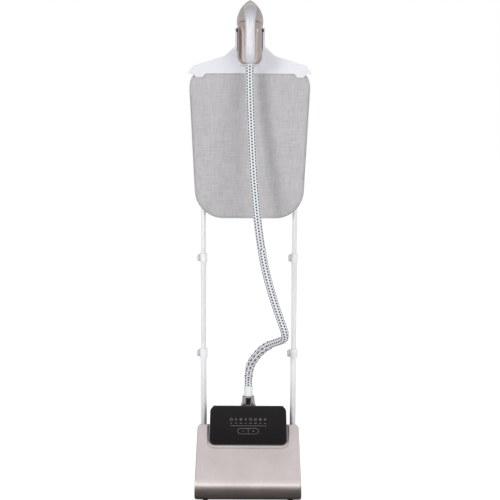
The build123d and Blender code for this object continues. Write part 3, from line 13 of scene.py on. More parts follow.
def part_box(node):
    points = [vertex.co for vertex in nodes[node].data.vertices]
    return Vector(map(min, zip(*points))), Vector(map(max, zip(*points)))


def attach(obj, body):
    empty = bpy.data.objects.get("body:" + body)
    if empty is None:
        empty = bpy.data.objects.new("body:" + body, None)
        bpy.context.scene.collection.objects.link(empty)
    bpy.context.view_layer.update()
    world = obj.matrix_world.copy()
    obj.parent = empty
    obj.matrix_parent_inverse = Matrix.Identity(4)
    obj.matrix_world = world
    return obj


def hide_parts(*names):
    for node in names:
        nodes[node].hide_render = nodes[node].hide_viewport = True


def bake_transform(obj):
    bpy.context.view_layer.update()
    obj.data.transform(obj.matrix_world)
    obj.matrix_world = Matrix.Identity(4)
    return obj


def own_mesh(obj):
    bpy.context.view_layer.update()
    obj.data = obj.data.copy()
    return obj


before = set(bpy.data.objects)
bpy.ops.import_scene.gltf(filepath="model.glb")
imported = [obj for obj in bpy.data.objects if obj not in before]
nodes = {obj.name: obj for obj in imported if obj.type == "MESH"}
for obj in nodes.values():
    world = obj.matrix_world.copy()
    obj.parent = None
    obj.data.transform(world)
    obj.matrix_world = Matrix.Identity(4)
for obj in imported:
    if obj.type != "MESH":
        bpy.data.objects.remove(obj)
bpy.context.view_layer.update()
MM = 0.001

# Camera, as the photograph was taken
CAMERA_PLACE = (0.0, -4.0506, 1.333)
CAMERA_PITCH = 7.4  # degrees below the horizon
CAMERA_ROLL = 0.275  # degrees
CAMERA_LENS = 90.0  # millimetres
CAMERA_SENSOR = 36.0  # millimetres
CAMERA_SHIFT = 0.002

# Studio light: the world and the floor are brighter where they are seen than where they give light
SKY_LIGHT = 0.45
SKY_SEEN = 1.0
FLOOR_GLOW = 0.64
FLOOR_SIZE = 40.0
FLOOR_DROP = 0.2 * MM  # under the feet

# Studio lamps: they light the object but don't show in its gloss
KEY_LAMP_PLACE = (-2.3, -3.0, 2.5)
KEY_LAMP_TARGET = (0, 0, 0.9)
KEY_LAMP_SIZE = 1.0
KEY_LAMP_POWER = 59.0
FILL_LAMP_PLACE = (2.1, -2.7, 1.3)
FILL_LAMP_TARGET = (0, 0, 0.8)
FILL_LAMP_SIZE = 2.4
FILL_LAMP_POWER = 46.0
BACK_LAMP_PLACE = (1.2, 3.6, 2.6)
BACK_LAMP_TARGET = (0, 0, 0.8)
BACK_LAMP_SIZE = 2.0
BACK_LAMP_POWER = 24.0

# Studio cards: they show in the gloss alone
FRONT_GLOW = 1.9
SIDE_GLOW = 32.0
STRIP_LEFT_TURN = math.radians(-48)
STRIP_RIGHT_TURN = math.radians(40)

# Hose: control points of its line, in millimetres from the iron's tail down to the cuff
HOSE_ROUTE = [
    (0, -50, 1404),
    (0, -50, 1364),
    (2, -58, 1294),
    (6, -71, 1191),
    (14, -89, 1045),
    (30, -108, 880),
    (50, -119, 765),
    (73, -127, 682),
    (94, -130, 619),
    (109, -128, 578),
    (118, -118, 549),
    (116, -101, 531),
    (99, -81, 520),
    (75, -58, 507),
    (51, -32, 488),
    (31, -6, 462),
    (17, 20, 438),
    (8, 38, 418),
    (3, 50, 396),
    (0, 56, 370),
    (0, 56, 340),
]
HOSE_DIAMETER = 26 * MM
MIDDLE_HOSE_TOP = 1242.5 * MM
LOWER_HOSE_TOP = 822.5 * MM
RIBBED_LENGTH = 248 * MM
RIB_COUNT = 13
RIB_DEPTH = 3.0 * MM
RIB_SINK = 0.4 * MM  # of the furrows under the plain hose
SLEEVE_COLUMNS = 8  # dark yarns round the sleeve
SLEEVE_ROW = 9.5 * MM  # between two dark yarns of one column
SLEEVE_FACES = 40  # round the sleeve
SLEEVE_STEP = 3 * MM
LINE_STEPS = 40  # of the smooth line between two control points
MERGE_DISTANCE = 0.01 * MM

# Ironing board
BOARD_BOTTOM = 910 * MM
BOARD_TOP = 1384 * MM
BOARD_BOTTOM_HALF = 173.5 * MM
BOARD_TOP_HALF = 197.5 * MM
BOARD_BOTTOM_CORNER = 88 * MM
BOARD_TOP_CORNER = 54 * MM
CORNER_SEGMENTS = 14
PAD_FRONT = 6 * MM
PAD_BACK = 15.5 * MM
PAD_LIMIT = 15.8 * MM  # the stiff board behind the pad
PAD_INSET = 1.0 * MM
PAD_RISE = 8 * MM  # of the pad's top edge into the hollow hanger
PAD_VOXEL = 4 * MM
PAD_PRESSURE = 4.0
PAD_SWELL = 4 * MM
SWELL_FRAMES = 20
PIPING_RADIUS = 1.3 * MM
PIPING_STEP = 8 * MM
PIPING_ROUNDNESS = 2  # bevel resolution of its section
HEM_INSET = 2 * MM
HEM_STEP = 5 * MM
HEM_WIDTH = 30 * MM
HEM_ROWS = 4
HEM_FRONT = 20.2 * MM
HEM_RISE = 0.8 * MM  # of the gathers, to both sides of their middle
HEM_GATHER = 4 * MM

# Touch panel: its face leans back from upright
PANEL_TILT = math.radians(28)
PANEL_FOOT = Vector((0, -47 * MM, 164.5 * MM))
PANEL_TOP_Z = 281 * MM
ICON_PITCH = 16.1 * MM
ICON_ROW = 86 * MM
ICON_RADIUS = 4.6 * MM
ICON_SIDES = (24, 4, 6, 3, 24, 8, 5, 4)  # of each frame, from left to right; 24 make a ring
INNER_RADIUS = ICON_RADIUS / 2.4
INNER_SIDES = 12
LABEL_ROW = 73 * MM
LABEL_SHORT = 5 * MM
LABEL_GROWTH = 1.6 * MM
LINE_ROW = 64.5 * MM
LINE_HALF = 60 * MM
KEY_ROW = 46.5 * MM
KEY_HALF = 34.5 * MM
KEY_RADIUS = 9.3 * MM
KEY_STEPS = 12  # in the half round at each end
PRINT_STROKE = 0.8 * MM
SIGN_STROKE = 1.1 * MM
SIGN_LENGTH = 3.4 * MM
PRINT_THICKNESS = 0.12 * MM
PRINT_LIFT = 0.02 * MM  # off the glass, so that no two faces coincide

# Water tank: raised level marks on its back
TANK_BACK = 147 * MM
MARK_COUNT = 5
MARK_LOWEST = 95 * MM
MARK_PITCH = 30 * MM
MARK_X = 78 * MM
MARK_LONG = 26 * MM
MARK_SHORT = 16 * MM
MARK_HEIGHT = 1.6 * MM
MARK_RAISE = 0.5 * MM
MARK_SINK = 0.02 * MM  # into the tank, so that no two faces coincide

# Tank valve: the wire of its spring
SPRING_WIRE = 1.4 * MM
SPRING_SIDES = 8  # of the wire's section
SPRING_TURNS = 5
SPRING_STEPS = 20  # in one turn

# Wheels: a pale hub inside the tyre
WHEEL_MIDDLE = (0, 127 * MM, 24 * MM)
HUB_RADIUS = 15 * MM

# Iron's handle: painted shade, a grey band near its upper end
PAINTED_SHADE_TOP = 1608 * MM
PAINTED_SHADE_DARKEST = 1584 * MM
PAINTED_SHADE_BOTTOM = 1515 * MM

# Surface patterns: the size of one cloud, grain, line or wave
PLASTIC_CLOUD = 60 * MM
LACQUER_CLOUD = 90 * MM
METAL_CLOUD = 25 * MM
HANDLE_GRAIN = 2 * MM
TYRE_GRAIN = 0.8 * MM
FLAKE_SIZE = 1.5 * MM
TUBE_LINE = 0.8 * MM
TUBE_STRETCH = 0.02  # of the lines' pattern along the tube
THREAD_PITCH = 2 * MM
SLUB_WIDTH = 3 * MM
SLUB_STRETCH = 0.1  # of the slubs' pattern along their yarn
DOT_EDGE = (0.355, 0.275)  # where a dark yarn begins and is full, in cells of the sleeve
GLASS_HAZE = 8 * MM
TANK_WAVE = 18 * MM
PAPER_FIBRE = 4 * MM
BUMP_STRENGTH = 0.4
MOULDED_EDGE = 1 * MM
LACQUERED_EDGE = 3 * MM
HUB_BLUR = 0.3 * MM


def colour(code):
    """An sRGB hex value as linear red, green, blue and alpha."""
    shares = [int(code[i : i + 2], 16) / 255 for i in (0, 2, 4)]
    return (*[s / 12.92 if s <= 0.04045 else ((s + 0.055) / 1.055) ** 2.4 for s in shares], 1.0)


def add(tree, kind, inputs=(), **settings):
    """Adds a node with its settings; each input is a value or the output that it is linked to."""
    node = tree.nodes.new(kind)
    for name, value in settings.items():
        setattr(node, name, value)
    for socket, value in dict(inputs).items():
        if isinstance(value, bpy.types.NodeSocket):
            tree.links.new(value, node.inputs[socket])
        else:
            node.inputs[socket].default_value = value
    return node


def surface(name, sockets):
    """A material with one Principled shader; returns the material, its tree, the shader and the place."""
    material = bpy.data.materials.new(name)
    material.use_nodes = True
    tree = material.node_tree
    tree.nodes.clear()
    shader = add(tree, "ShaderNodeBsdfPrincipled", sockets)
    add(tree, "ShaderNodeOutputMaterial", {"Surface": shader.outputs[0]})
    return material, tree, shader, add(tree, "ShaderNodeTexCoord").outputs["Object"]


def finish(tree, shader, tone, tones, grain, roughness, height, edge=0.0):
    """Lets a tone from 0 to 1 run between two colours, and a grain between two roughnesses and up to
    a height. Moulded edges catch the light as if they were rounded by the edge radius."""
    mix = add(tree, "ShaderNodeMix", {"Factor": tone}, data_type="RGBA")
    for socket, code in zip((6, 7), tones):
        mix.inputs[socket].default_value = colour(code)
    levels = {"Value": grain, "To Min": roughness[0], "To Max": roughness[1]}
    spread = add(tree, "ShaderNodeMapRange", levels)
    bump = add(tree, "ShaderNodeBump", {"Height": grain, "Strength": BUMP_STRENGTH, "Distance": height})
    tree.links.new(mix.outputs[2], shader.inputs["Base Color"])
    tree.links.new(spread.outputs[0], shader.inputs["Roughness"])
    tree.links.new(bump.outputs[0], shader.inputs["Normal"])
    if edge:
        rounded = add(tree, "ShaderNodeBevel", {"Radius": edge}, samples=6)
        tree.links.new(rounded.outputs[0], bump.inputs["Normal"])
    return mix


def moulded(name, tones, roughness, grain, height, sockets=()):
    """Injection-moulded plastic or rubber: a faint cloudiness in the colour, and the eroded grain of
    its mould."""
    material, tree, shader, place = surface(name, {"IOR": 1.5, **dict(sockets)})
    cloud = add(tree, "ShaderNodeTexNoise", {"Vector": place, "Scale": 1 / PLASTIC_CLOUD, "Detail": 2.0})
    fine = add(tree, "ShaderNodeTexNoise", {"Vector": place, "Scale": 1 / grain, "Detail": 3.0})
    spread = (roughness - 0.05, roughness + 0.05)
    finish(tree, shader, cloud.outputs[0], tones, fine.outputs[0], spread, height, MOULDED_EDGE)
    return material


def handle_plastic(name, tones, painted_shade):
    """Glossy white ABS of the iron's handle, which fades into painted shade, a grey band near its upper end.
    """
    material, tree, shader, place = surface(name, {"IOR": 1.5, "Coat Weight": 0.3, "Coat Roughness": 0.08})
    grain = {"Vector": place, "Scale": 1 / HANDLE_GRAIN, "Detail": 2.0}
    fine = add(tree, "ShaderNodeTexNoise", grain).outputs[0]
    plain = finish(tree, shader, fine, tones, fine, (0.2, 0.28), 0.01 * MM)
    height = add(tree, "ShaderNodeSeparateXYZ", {"Vector": place}).outputs[2]
    # Painted shade: the colour greys between the band's top and bottom heights, greyest at its darkest
    # height
    fades = []
    for end in (PAINTED_SHADE_TOP, PAINTED_SHADE_BOTTOM):
        fade = {"Value": height, "From Min": end, "From Max": PAINTED_SHADE_DARKEST}
        fades.append(add(tree, "ShaderNodeMapRange", fade, interpolation_type="SMOOTHSTEP").outputs[0])
    share = add(tree, "ShaderNodeMath", {0: fades[0], 1: fades[1]}, operation="MULTIPLY").outputs[0]
    mix = add(tree, "ShaderNodeMix", {"Factor": share, 6: plain.outputs[2]}, data_type="RGBA")
    mix.inputs[7].default_value = colour(painted_shade)
    tree.links.new(mix.outputs[2], shader.inputs["Base Color"])
    return material


def wheel_rubber(name, tones, hub):
    """Grey rubber tyre on a pale moulded hub."""
    material, tree, shader, place = surface(name, {"IOR": 1.5})
    grain = {"Vector": place, "Scale": 1 / TYRE_GRAIN, "Detail": 3.0}
    fine = add(tree, "ShaderNodeTexNoise", grain).outputs[0]
    tyre = finish(tree, shader, fine, tones, fine, (0.6, 0.8), 0.1 * MM)
    flat = add(tree, "ShaderNodeVectorMath", {0: place, 1: (0, 1, 1)}, operation="MULTIPLY").outputs[0]
    away = {0: flat, 1: WHEEL_MIDDLE}
    radius = add(tree, "ShaderNodeVectorMath", away, operation="DISTANCE").outputs["Value"]
    edge = {"Value": radius, "From Min": HUB_RADIUS + HUB_BLUR, "From Max": HUB_RADIUS - HUB_BLUR}
    inside = add(tree, "ShaderNodeMapRange", edge).outputs[0]
    mix = add(tree, "ShaderNodeMix", {"Factor": inside, 6: tyre.outputs[2]}, data_type="RGBA")
    mix.inputs[7].default_value = colour(hub)
    tree.links.new(mix.outputs[2], shader.inputs["Base Color"])
    return material


def flaked_lacquer(name, tones, roughness, metallic, coat, height):
    """Champagne lacquer on ABS: aluminium flakes under a clear coat. The flakes are 0.05 mm in the
    real paint, and are drawn 1.5 mm across so that their shimmer shows."""
    sockets = {"Metallic": metallic, "Coat Weight": coat, "Coat Roughness": 0.1, "Coat IOR": 1.5}
    material, tree, shader, place = surface(name, sockets)
    flakes = add(tree, "ShaderNodeTexVoronoi", {"Vector": place, "Scale": 1 / FLAKE_SIZE})
    flake = add(tree, "ShaderNodeSeparateColor", {"Color": flakes.outputs["Color"]}).outputs[0]
    drift = {"Vector": place, "Scale": 1 / LACQUER_CLOUD, "Detail": 2.0}
    cloud = add(tree, "ShaderNodeTexNoise", drift).outputs[0]
    both = add(tree, "ShaderNodeMath", {0: flake, 1: 0.45, 2: cloud}, operation="MULTIPLY_ADD").outputs[0]
    tone = add(tree, "ShaderNodeMath", {0: both, 1: 0.22}, operation="SUBTRACT", use_clamp=True).outputs[0]
    spread = (0.96 * roughness, 1.08 * roughness)
    finish(tree, shader, tone, tones, flake, spread, height, LACQUERED_EDGE)
    return material


def lacquered_tube(name, tones, roughness):
    """Drawn aluminium tube under a pearl-grey lacquer: fine lines along it, a satin gloss."""
    material, tree, shader, place = surface(name, {"Metallic": 0.4})
    along = add(tree, "ShaderNodeMapping", {"Vector": place, "Scale": (1, 1, TUBE_STRETCH)}).outputs[0]
    drawn = {"Vector": along, "Scale": 1 / TUBE_LINE, "Detail": 3.0}
    lines = add(tree, "ShaderNodeTexNoise", drawn).outputs[0]
    finish(tree, shader, lines, tones, lines, (roughness - 0.06, roughness + 0.06), 0.006 * MM)
    return material


def worked_metal(name, tones, roughness, grain):
    """Plated, cast or polished metal: a slight cloudiness in its tone and a fine grain."""
    material, tree, shader, place = surface(name, {"Metallic": 1.0})
    drift = {"Vector": place, "Scale": 1 / METAL_CLOUD, "Detail": 2.0}
    cloud = add(tree, "ShaderNodeTexNoise", drift).outputs[0]
    fine = add(tree, "ShaderNodeTexNoise", {"Vector": place, "Scale": 1 / grain, "Detail": 2.0}).outputs[0]
    finish(tree, shader, cloud, tones, fine, (0.7 * roughness, 1.3 * roughness), 0.005 * MM)
    return material


def linen_weave(name, tones):
    """Plain-woven linen and polyester: slubby yarns both ways. The real threads are 0.5 mm apart, and
    are drawn 2 mm apart, with slubs some 3 mm wide, so that the weave shows."""
    sockets = {"IOR": 1.4, "Sheen Weight": 0.15, "Sheen Roughness": 0.5}
    material, tree, shader, place = surface(name, sockets)
    slubs = []
    threads = []
    for stretch, direction in (((1, 1, SLUB_STRETCH), "X"), ((SLUB_STRETCH, 1, 1), "Z")):
        along = add(tree, "ShaderNodeMapping", {"Vector": place, "Scale": stretch}).outputs[0]
        slub = add(tree, "ShaderNodeTexNoise", {"Vector": along, "Scale": 1 / SLUB_WIDTH, "Detail": 4.0})
        slubs.append(slub.outputs[0])
        # A wave of this scale repeats every 2 pi over 20 times the scale.
        wave = {"Vector": place, "Scale": math.pi / 10 / THREAD_PITCH, "Distortion": 1.2, "Detail": 1.0}
        threads.append(add(tree, "ShaderNodeTexWave", wave, bands_direction=direction).outputs["Fac"])
    slub = add(tree, "ShaderNodeMath", {0: slubs[0], 1: slubs[1]}, operation="ADD").outputs[0]
    weave = add(tree, "ShaderNodeMath", {0: threads[0], 1: threads[1]}, operation="MULTIPLY").outputs[0]
    tone = add(tree, "ShaderNodeMapRange", {"Value": slub, "From Min": 0.7, "From Max": 1.3}).outputs[0]
    share = add(tree, "ShaderNodeMath", {0: weave, 1: 0.2, 2: tone}, operation="MULTIPLY_ADD").outputs[0]
    even = add(tree, "ShaderNodeMath", {0: share, 1: 0.05}, operation="SUBTRACT", use_clamp=True).outputs[0]
    finish(tree, shader, even, tones, even, (0.95, 0.8), 0.35 * MM)
    return material


def dotted_braid(name, tones, yarn):
    """Braided polyester sleeve: white yarns crossing at a slant, with dark yarns that surface in
    staggered columns. The UV map counts dark yarns: one per unit round the hose and along it."""
    sockets = {"IOR": 1.45, "Sheen Weight": 0.2, "Sheen Roughness": 0.4}
    material, tree, shader, place = surface(name, sockets)
    uv = add(tree, "ShaderNodeUVMap", uv_map="Sleeve").outputs[0]
    split = add(tree, "ShaderNodeSeparateXYZ", {"Vector": uv}).outputs
    column = add(tree, "ShaderNodeMath", {0: split[0]}, operation="FLOOR").outputs[0]
    half_rows = {0: column, 1: 0.5, 2: split[1]}
    stagger = add(tree, "ShaderNodeMath", half_rows, operation="MULTIPLY_ADD").outputs[0]
    cell = add(tree, "ShaderNodeCombineXYZ", {"X": split[0], "Y": stagger, "Z": 0.5}).outputs[0]
    inside = add(tree, "ShaderNodeVectorMath", {0: cell}, operation="FRACTION").outputs[0]
    middle = {0: inside, 1: (0.5, 0.5, 0.5)}
    distance = add(tree, "ShaderNodeVectorMath", middle, operation="DISTANCE").outputs["Value"]
    edge = {"Value": distance, "From Min": DOT_EDGE[0], "From Max": DOT_EDGE[1]}
    dot = add(tree, "ShaderNodeMapRange", edge, interpolation_type="SMOOTHSTEP").outputs[0]
    strands = []
    for slant in (-45, 45):
        turned = add(tree, "ShaderNodeMapping", {"Vector": uv, "Rotation": (0, 0, math.radians(slant))})
        # Four strands cross each cell of one dark yarn.
        wave = {"Vector": turned.outputs[0], "Scale": math.sqrt(2) * math.pi / 5, "Distortion": 0.4}
        strands.append(add(tree, "ShaderNodeTexWave", wave, bands_direction="X").outputs["Fac"])
    braid = add(tree, "ShaderNodeMath", {0: strands[0], 1: strands[1]}, operation="MAXIMUM").outputs[0]
    white = finish(tree, shader, braid, tones, braid, (0.8, 0.65), 0.3 * MM)
    mix = add(tree, "ShaderNodeMix", {"Factor": dot, 6: white.outputs[2]}, data_type="RGBA")
    mix.inputs[7].default_value = colour(yarn)
    tree.links.new(mix.outputs[2], shader.inputs["Base Color"])
    return material


def printed_glass(name, tones):
    """Tempered glass, printed black on its back: a clear gloss, and a painted reflection that lightens it
    towards the top.
    """
    material, tree, shader, place = surface(name, {"IOR": 1.5, "Specular IOR Level": 0.15})
    # Painted reflection: the colour lightens from the panel's foot to its top
    height = add(tree, "ShaderNodeSeparateXYZ", {"Vector": place}).outputs[2]
    rise = {"Value": height, "From Min": PANEL_FOOT.z, "From Max": PANEL_TOP_Z}
    up = add(tree, "ShaderNodeMapRange", rise).outputs[0]
    smear = {"Vector": place, "Scale": 1 / GLASS_HAZE, "Detail": 2.0}
    haze = add(tree, "ShaderNodeTexNoise", smear).outputs[0]
    finish(tree, shader, up, tones, haze, (0.05, 0.1), 0.001 * MM)
    return material


def clear_plastic(name, tones):
    """Clear smoked polycarbonate, blow-moulded: tinted, with a slight waviness."""
    material, tree, shader, place = surface(name, {"IOR": 1.58, "Transmission Weight": 0.9})
    wave = {"Vector": place, "Scale": 1 / TANK_WAVE, "Detail": 2.0}
    wavy = add(tree, "ShaderNodeTexNoise", wave).outputs[0]
    finish(tree, shader, wavy, tones, wavy, (0.08, 0.16), 0.08 * MM)
    return material


# Moulded ABS of the hanger: cool white, satin
white_abs = moulded("white_abs", ("dadbe1", "e1e2e7"), 0.34, 1.2 * MM, 0.03 * MM)
# Moulded ABS of the cradle: white with a breath of lilac, satin
fence_abs = moulded("pale_lilac_abs", ("e4e3ea", "eceaf0"), 0.36, 1.2 * MM, 0.03 * MM)
# Moulded ABS of the clip collars: clean white, satin
collar_abs = moulded("collar_abs", ("eeeef2", "f4f4f6"), 0.4, 1.2 * MM, 0.03 * MM)
# Moulded ABS of the levers: lilac grey, a shade darker than their collars, matt satin
lever_abs = moulded("lilac_grey_abs", ("c9c5d2", "d5d2dd"), 0.42, 1.2 * MM, 0.04 * MM)
# Polished ABS of the iron's handle: white and glossy, with painted shade, grey near its upper end
handle_abs = handle_plastic("gloss_white_abs", ("d6d6dc", "dedee3"), "a9a9af")
# Moulded ABS of what a finger presses or turns: plain pale grey, satin
trigger_abs = moulded("pale_grey_abs", ("b9b9bf", "c8c8cd"), 0.4, 1.0 * MM, 0.04 * MM)
# Moulded elastomer of the hose cuff: white, soft and dull
cuff_tpe = moulded("pale_elastomer", ("eff3f5", "f5f7f9"), 0.5, 1.5 * MM, 0.05 * MM)
# Polished ABS of the panel's rim: black and glossy
bezel_abs = moulded("black_gloss_abs", ("1b191a", "262324"), 0.22, 1.0 * MM, 0.01 * MM, {"Coat Weight": 0.3})
# Moulded ABS behind the panel: graphite, satin
head_abs = moulded("graphite_abs", ("2b292b", "353335"), 0.45, 1.0 * MM, 0.06 * MM)
# Moulded ABS under the base and of hidden parts: black and dull
pan_abs = moulded("black_abs", ("151414", "1f1d1d"), 0.6, 1.0 * MM, 0.08 * MM)
# Moulded ABS of the tank's seat: dark grey and dull
seat_abs = moulded("dark_grey_abs", ("4b4a4d", "58575a"), 0.55, 1.0 * MM, 0.06 * MM)
# Moulded ABS of the pole sockets: mid grey and dull
socket_abs = moulded("mid_grey_abs", ("8a888c", "98969a"), 0.5, 1.0 * MM, 0.06 * MM)
# Pressed fibreboard behind the pad: grey, flecked and dead matt
core_board = moulded("grey_fibreboard", ("6f6d70", "848185"), 0.85, 2.5 * MM, 0.2 * MM)
# Moulded rubber of feet, pads, gland and seal: black, without gloss
foot_rubber = moulded("black_rubber", ("0f0e0e", "1a1919"), 0.8, 0.8 * MM, 0.1 * MM)
# Moulded rubber tyre on a plastic hub: dark grey round pale grey
tyre_rubber = wheel_rubber("grey_rubber", ("2f2e30", "3b3a3c"), "9c9a9e")
# Extruded silicone of the pipes: milky, with a soft sheen
silicone = moulded("milky_silicone", ("c6c6c0", "d6d6d1"), 0.45, 1.2 * MM, 0.05 * MM)
# Solder mask of the control board: deep green, slightly glossy
circuit = moulded("solder_mask", ("12381f", "1b4a2a"), 0.35, 3.0 * MM, 0.05 * MM)
# Moulded acetal of the valve: chalky white
acetal = moulded("white_acetal", ("dfdfdc", "ececea"), 0.4, 1.0 * MM, 0.03 * MM)
# Screen-printing ink on the panel: mid grey and flat
print_ink = moulded("panel_print_ink", ("8b8889", "9d999a"), 0.5, 0.6 * MM, 0.01 * MM)
# Moulded ABS of the tank's level marks: bluish grey
mark_ink = moulded("tank_mark_abs", ("8d9098", "9a9da5"), 0.4, 0.6 * MM, 0.01 * MM)
# Flaked lacquer of the base: champagne, satin, so that slopes fade softly
lacquer = flaked_lacquer("champagne_lacquer", ("bfb4b3", "d5cdcc"), 0.36, 0.9, 0.2, 0.004 * MM)
# Flaked lacquer of the iron's body: deeper champagne, glossier than the base
iron_lacquer = flaked_lacquer("champagne_gloss_lacquer", ("998b86", "b0a4a1"), 0.3, 0.9, 0.1, 0.0002 * MM)
# Flaked lacquer of the iron's skirt: greyer champagne, dull satin
skirt_lacquer = flaked_lacquer("champagne_satin_lacquer", ("9b9491", "aea7a5"), 0.45, 0.5, 0.1, 0.003 * MM)
# Lacquered tubes of the two upper stages: pearl grey
pole_metal = lacquered_tube("pearl_grey_tube", ("dedfe1", "e8e9ea"), 0.32)
# Lacquered tubes of the lowest stage: the same tube painted lighter, as painted light that offsets the shade
# low down
lower_pole_painted_lighter = lacquered_tube("pearl_grey_tube_painted_lighter", ("e9eaed", "f3f4f5"), 0.3)
# Chromed ABS of the steam outlet: a dark mirror
bell_chrome = worked_metal("chromed_abs", ("8d8b8a", "a19f9e"), 0.08, 3.0 * MM)
# Satin chrome of the outlet's flange: pale and softly shining
flange_chrome = worked_metal("satin_chrome", ("c9c9cc", "dcdcde"), 0.2, 1.0 * MM)
# Zinc-plated steel of screws, pins, axles and the spring: dull silver
zinc_steel = worked_metal("zinc_plated_steel", ("a4a5a8", "b9babd"), 0.35, 0.8 * MM)
# Polished aluminium of the soleplate: bright, with soft reflections
sole_metal = worked_metal("polished_aluminium", ("b8b9bb", "cccdcf"), 0.22, 0.8 * MM)
# Cast aluminium of the boiler: grey and rough
cast_metal = worked_metal("cast_aluminium", ("8e8f92", "a5a6a9"), 0.5, 1.2 * MM)
# Woven linen of the board's cover: light grey, slubby and matt
linen = linen_weave("grey_linen", ("aeacae", "c1bfc1"))
# Woven tape of the cover's piping: the same grey, a little more even
piping_cloth = linen_weave("grey_piping", ("b0aeb0", "bfbdbf"))
# Braided polyester of the hose: white with dark dots in staggered rows
sleeve_braid = dotted_braid("dotted_braid", ("cdd0d6", "eceef1"), "42444c")
# Tempered glass of the panel: black from its printed back, smooth and shining, with a painted reflection
# lighter towards the top
glass = printed_glass("black_printed_glass", ("0b0809", "1c1819"))
# Blow-moulded polycarbonate of the tank: clear, faintly blue grey
tank_clear = clear_plastic("smoked_polycarbonate", ("d6d9df", "e2e5ea"))

FINISHES = (
    (lacquer, "base_shell"),
    (iron_lacquer, "iron_shell"),
    (skirt_lacquer, "iron_skirt"),
    (white_abs, "hanger", "board_clips", "iron_tail"),
    (fence_abs, "cradle"),
    (collar_abs, "lower_collars", "upper_collar_left", "upper_collar_right"),
    (lever_abs, "lower_lever_left", "lower_lever_right", "upper_lever_left", "upper_lever_right"),
    (handle_abs, "iron_handle"),
    (trigger_abs, "steam_trigger", "tank_cap"),
    (cuff_tpe, "hose_cuff"),
    (bezel_abs, "panel_bezel"),
    (glass, "panel_glass"),
    (head_abs, "head_housing"),
    (pan_abs, "base_pan", "pump", "thermostat"),
    (seat_abs, "tank_seat"),
    (socket_abs, "pole_sockets"),
    (core_board, "board_core"),
    (foot_rubber, "rubber_feet", "cradle_pads", "cord_gland", "tank_seal"),
    (tyre_rubber, "wheel_left", "wheel_right"),
    (silicone, "water_pipe", "feed_pipe", "steam_pipe"),
    (circuit, "control_board"),
    (acetal, "tank_valve"),
    (pole_metal, "upper_poles", "middle_pole_left", "middle_pole_right"),
    (lower_pole_painted_lighter, "lower_poles"),
    (bell_chrome, "outlet_bell"),
    (flange_chrome, "outlet_flange"),
    (zinc_steel, "base_screws", "cradle_screws", "wheel_axles", "lower_collar_pins"),
    (zinc_steel, "upper_collar_pin_left", "upper_collar_pin_right", "trigger_pin", "heating_element"),
    (sole_metal, "iron_soleplate"),
    (cast_metal, "boiler"),
    (tank_clear, "tank_body"),
)
for material, *names in FINISHES:
    for name in names:
        nodes[name].data.materials.clear()
        nodes[name].data.materials.append(material)


def make_object(name, bm, *materials):
    """Turns a bmesh into a smooth-shaded object at the origin."""
    mesh = bpy.data.meshes.new(name)
    bm.to_mesh(mesh)
    bm.free()
    for material in materials:
        mesh.materials.append(material)
    mesh.shade_smooth()
    thing = bpy.data.objects.new(name, mesh)
    bpy.context.scene.collection.objects.link(thing)
    return thing


def curve_mesh(name, kind, points, bevel=0.0, closed=False):
    """The mesh of a curve through or near the points: their line alone, or a round cord along it."""
    curve = bpy.data.curves.new(name, "CURVE")
    curve.dimensions = "3D"
    curve.bevel_depth = bevel
    curve.bevel_resolution = PIPING_ROUNDNESS
    spline = curve.splines.new(kind)
    spline.points.add(len(points) - 1)
    for control, place in zip(spline.points, points):
        control.co = (*place, 1)
    if kind == "NURBS":
        spline.order_u = 3
        spline.use_endpoint_u = True
        spline.resolution_u = LINE_STEPS
    spline.use_cyclic_u = closed
    line = bpy.data.objects.new(name, curve)
    mesh = bpy.data.meshes.new_from_object(line)
    bpy.data.objects.remove(line)
    bpy.data.curves.remove(curve)
    return mesh


def evenly(points, step):
    """The same line with its points about a step apart."""
    lengths = [0.0]
    for before, after in zip(points, points[1:]):
        lengths.append(lengths[-1] + (after - before).length)
    count = round(lengths[-1] / step)
    spaced = []
    at = 0
    for i in range(count + 1):
        wanted = lengths[-1] * i / count
        while at < len(points) - 2 and lengths[at + 1] < wanted:
            at += 1
        share = (wanted - lengths[at]) / (lengths[at + 1] - lengths[at])
        spaced.append(points[at].lerp(points[at + 1], share))
    return spaced


def line_length(points):
    """The length of a line through the points."""
    return sum((after - before).length for before, after in zip(points, points[1:]))


def hose_sleeve(name, points, radius_at):
    """A sleeve along the points: a flat grid rolled round them, closed at both ends."""
    last = len(points) - 1
    bm = bmesh.new()
    uv = bm.loops.layers.uv.new("Sleeve")
    bmesh.ops.create_grid(bm, x_segments=SLEEVE_FACES, y_segments=last, size=0.5, calc_uvs=True)
    rows = line_length(points) / SLEEVE_ROW
    for face in bm.faces:
        for loop in face.loops:
            across, along = loop[uv].uv
            loop[uv].uv = (across * SLEEVE_COLUMNS + 0.5, along * rows)
    side = Vector((1, 0, 0))
    places = []
    for i, point in enumerate(points):
        ahead = (points[min(i + 1, last)] - points[max(i - 1, 0)]).normalized()
        side = (side - ahead * side.dot(ahead)).normalized()
        places.append((point, side.copy(), ahead.cross(side)))
    for vertex in bm.verts:
        ring = round((vertex.co.y + 0.5) * last)
        turn = (vertex.co.x + 0.5) * 2 * math.pi
        middle, right, up = places[ring]
        vertex.co = middle + (right * math.cos(turn) + up * math.sin(turn)) * radius_at(ring / last)
    bmesh.ops.remove_doubles(bm, verts=bm.verts, dist=MERGE_DISTANCE)
    bmesh.ops.holes_fill(bm, edges=[edge for edge in bm.edges if edge.is_boundary])
    bmesh.ops.recalc_face_normals(bm, faces=bm.faces)
    return make_object(name, bm, sleeve_braid)


def plain_radius(share):
    """The same radius at every share of a stretch's length."""
    return HOSE_DIAMETER / 2


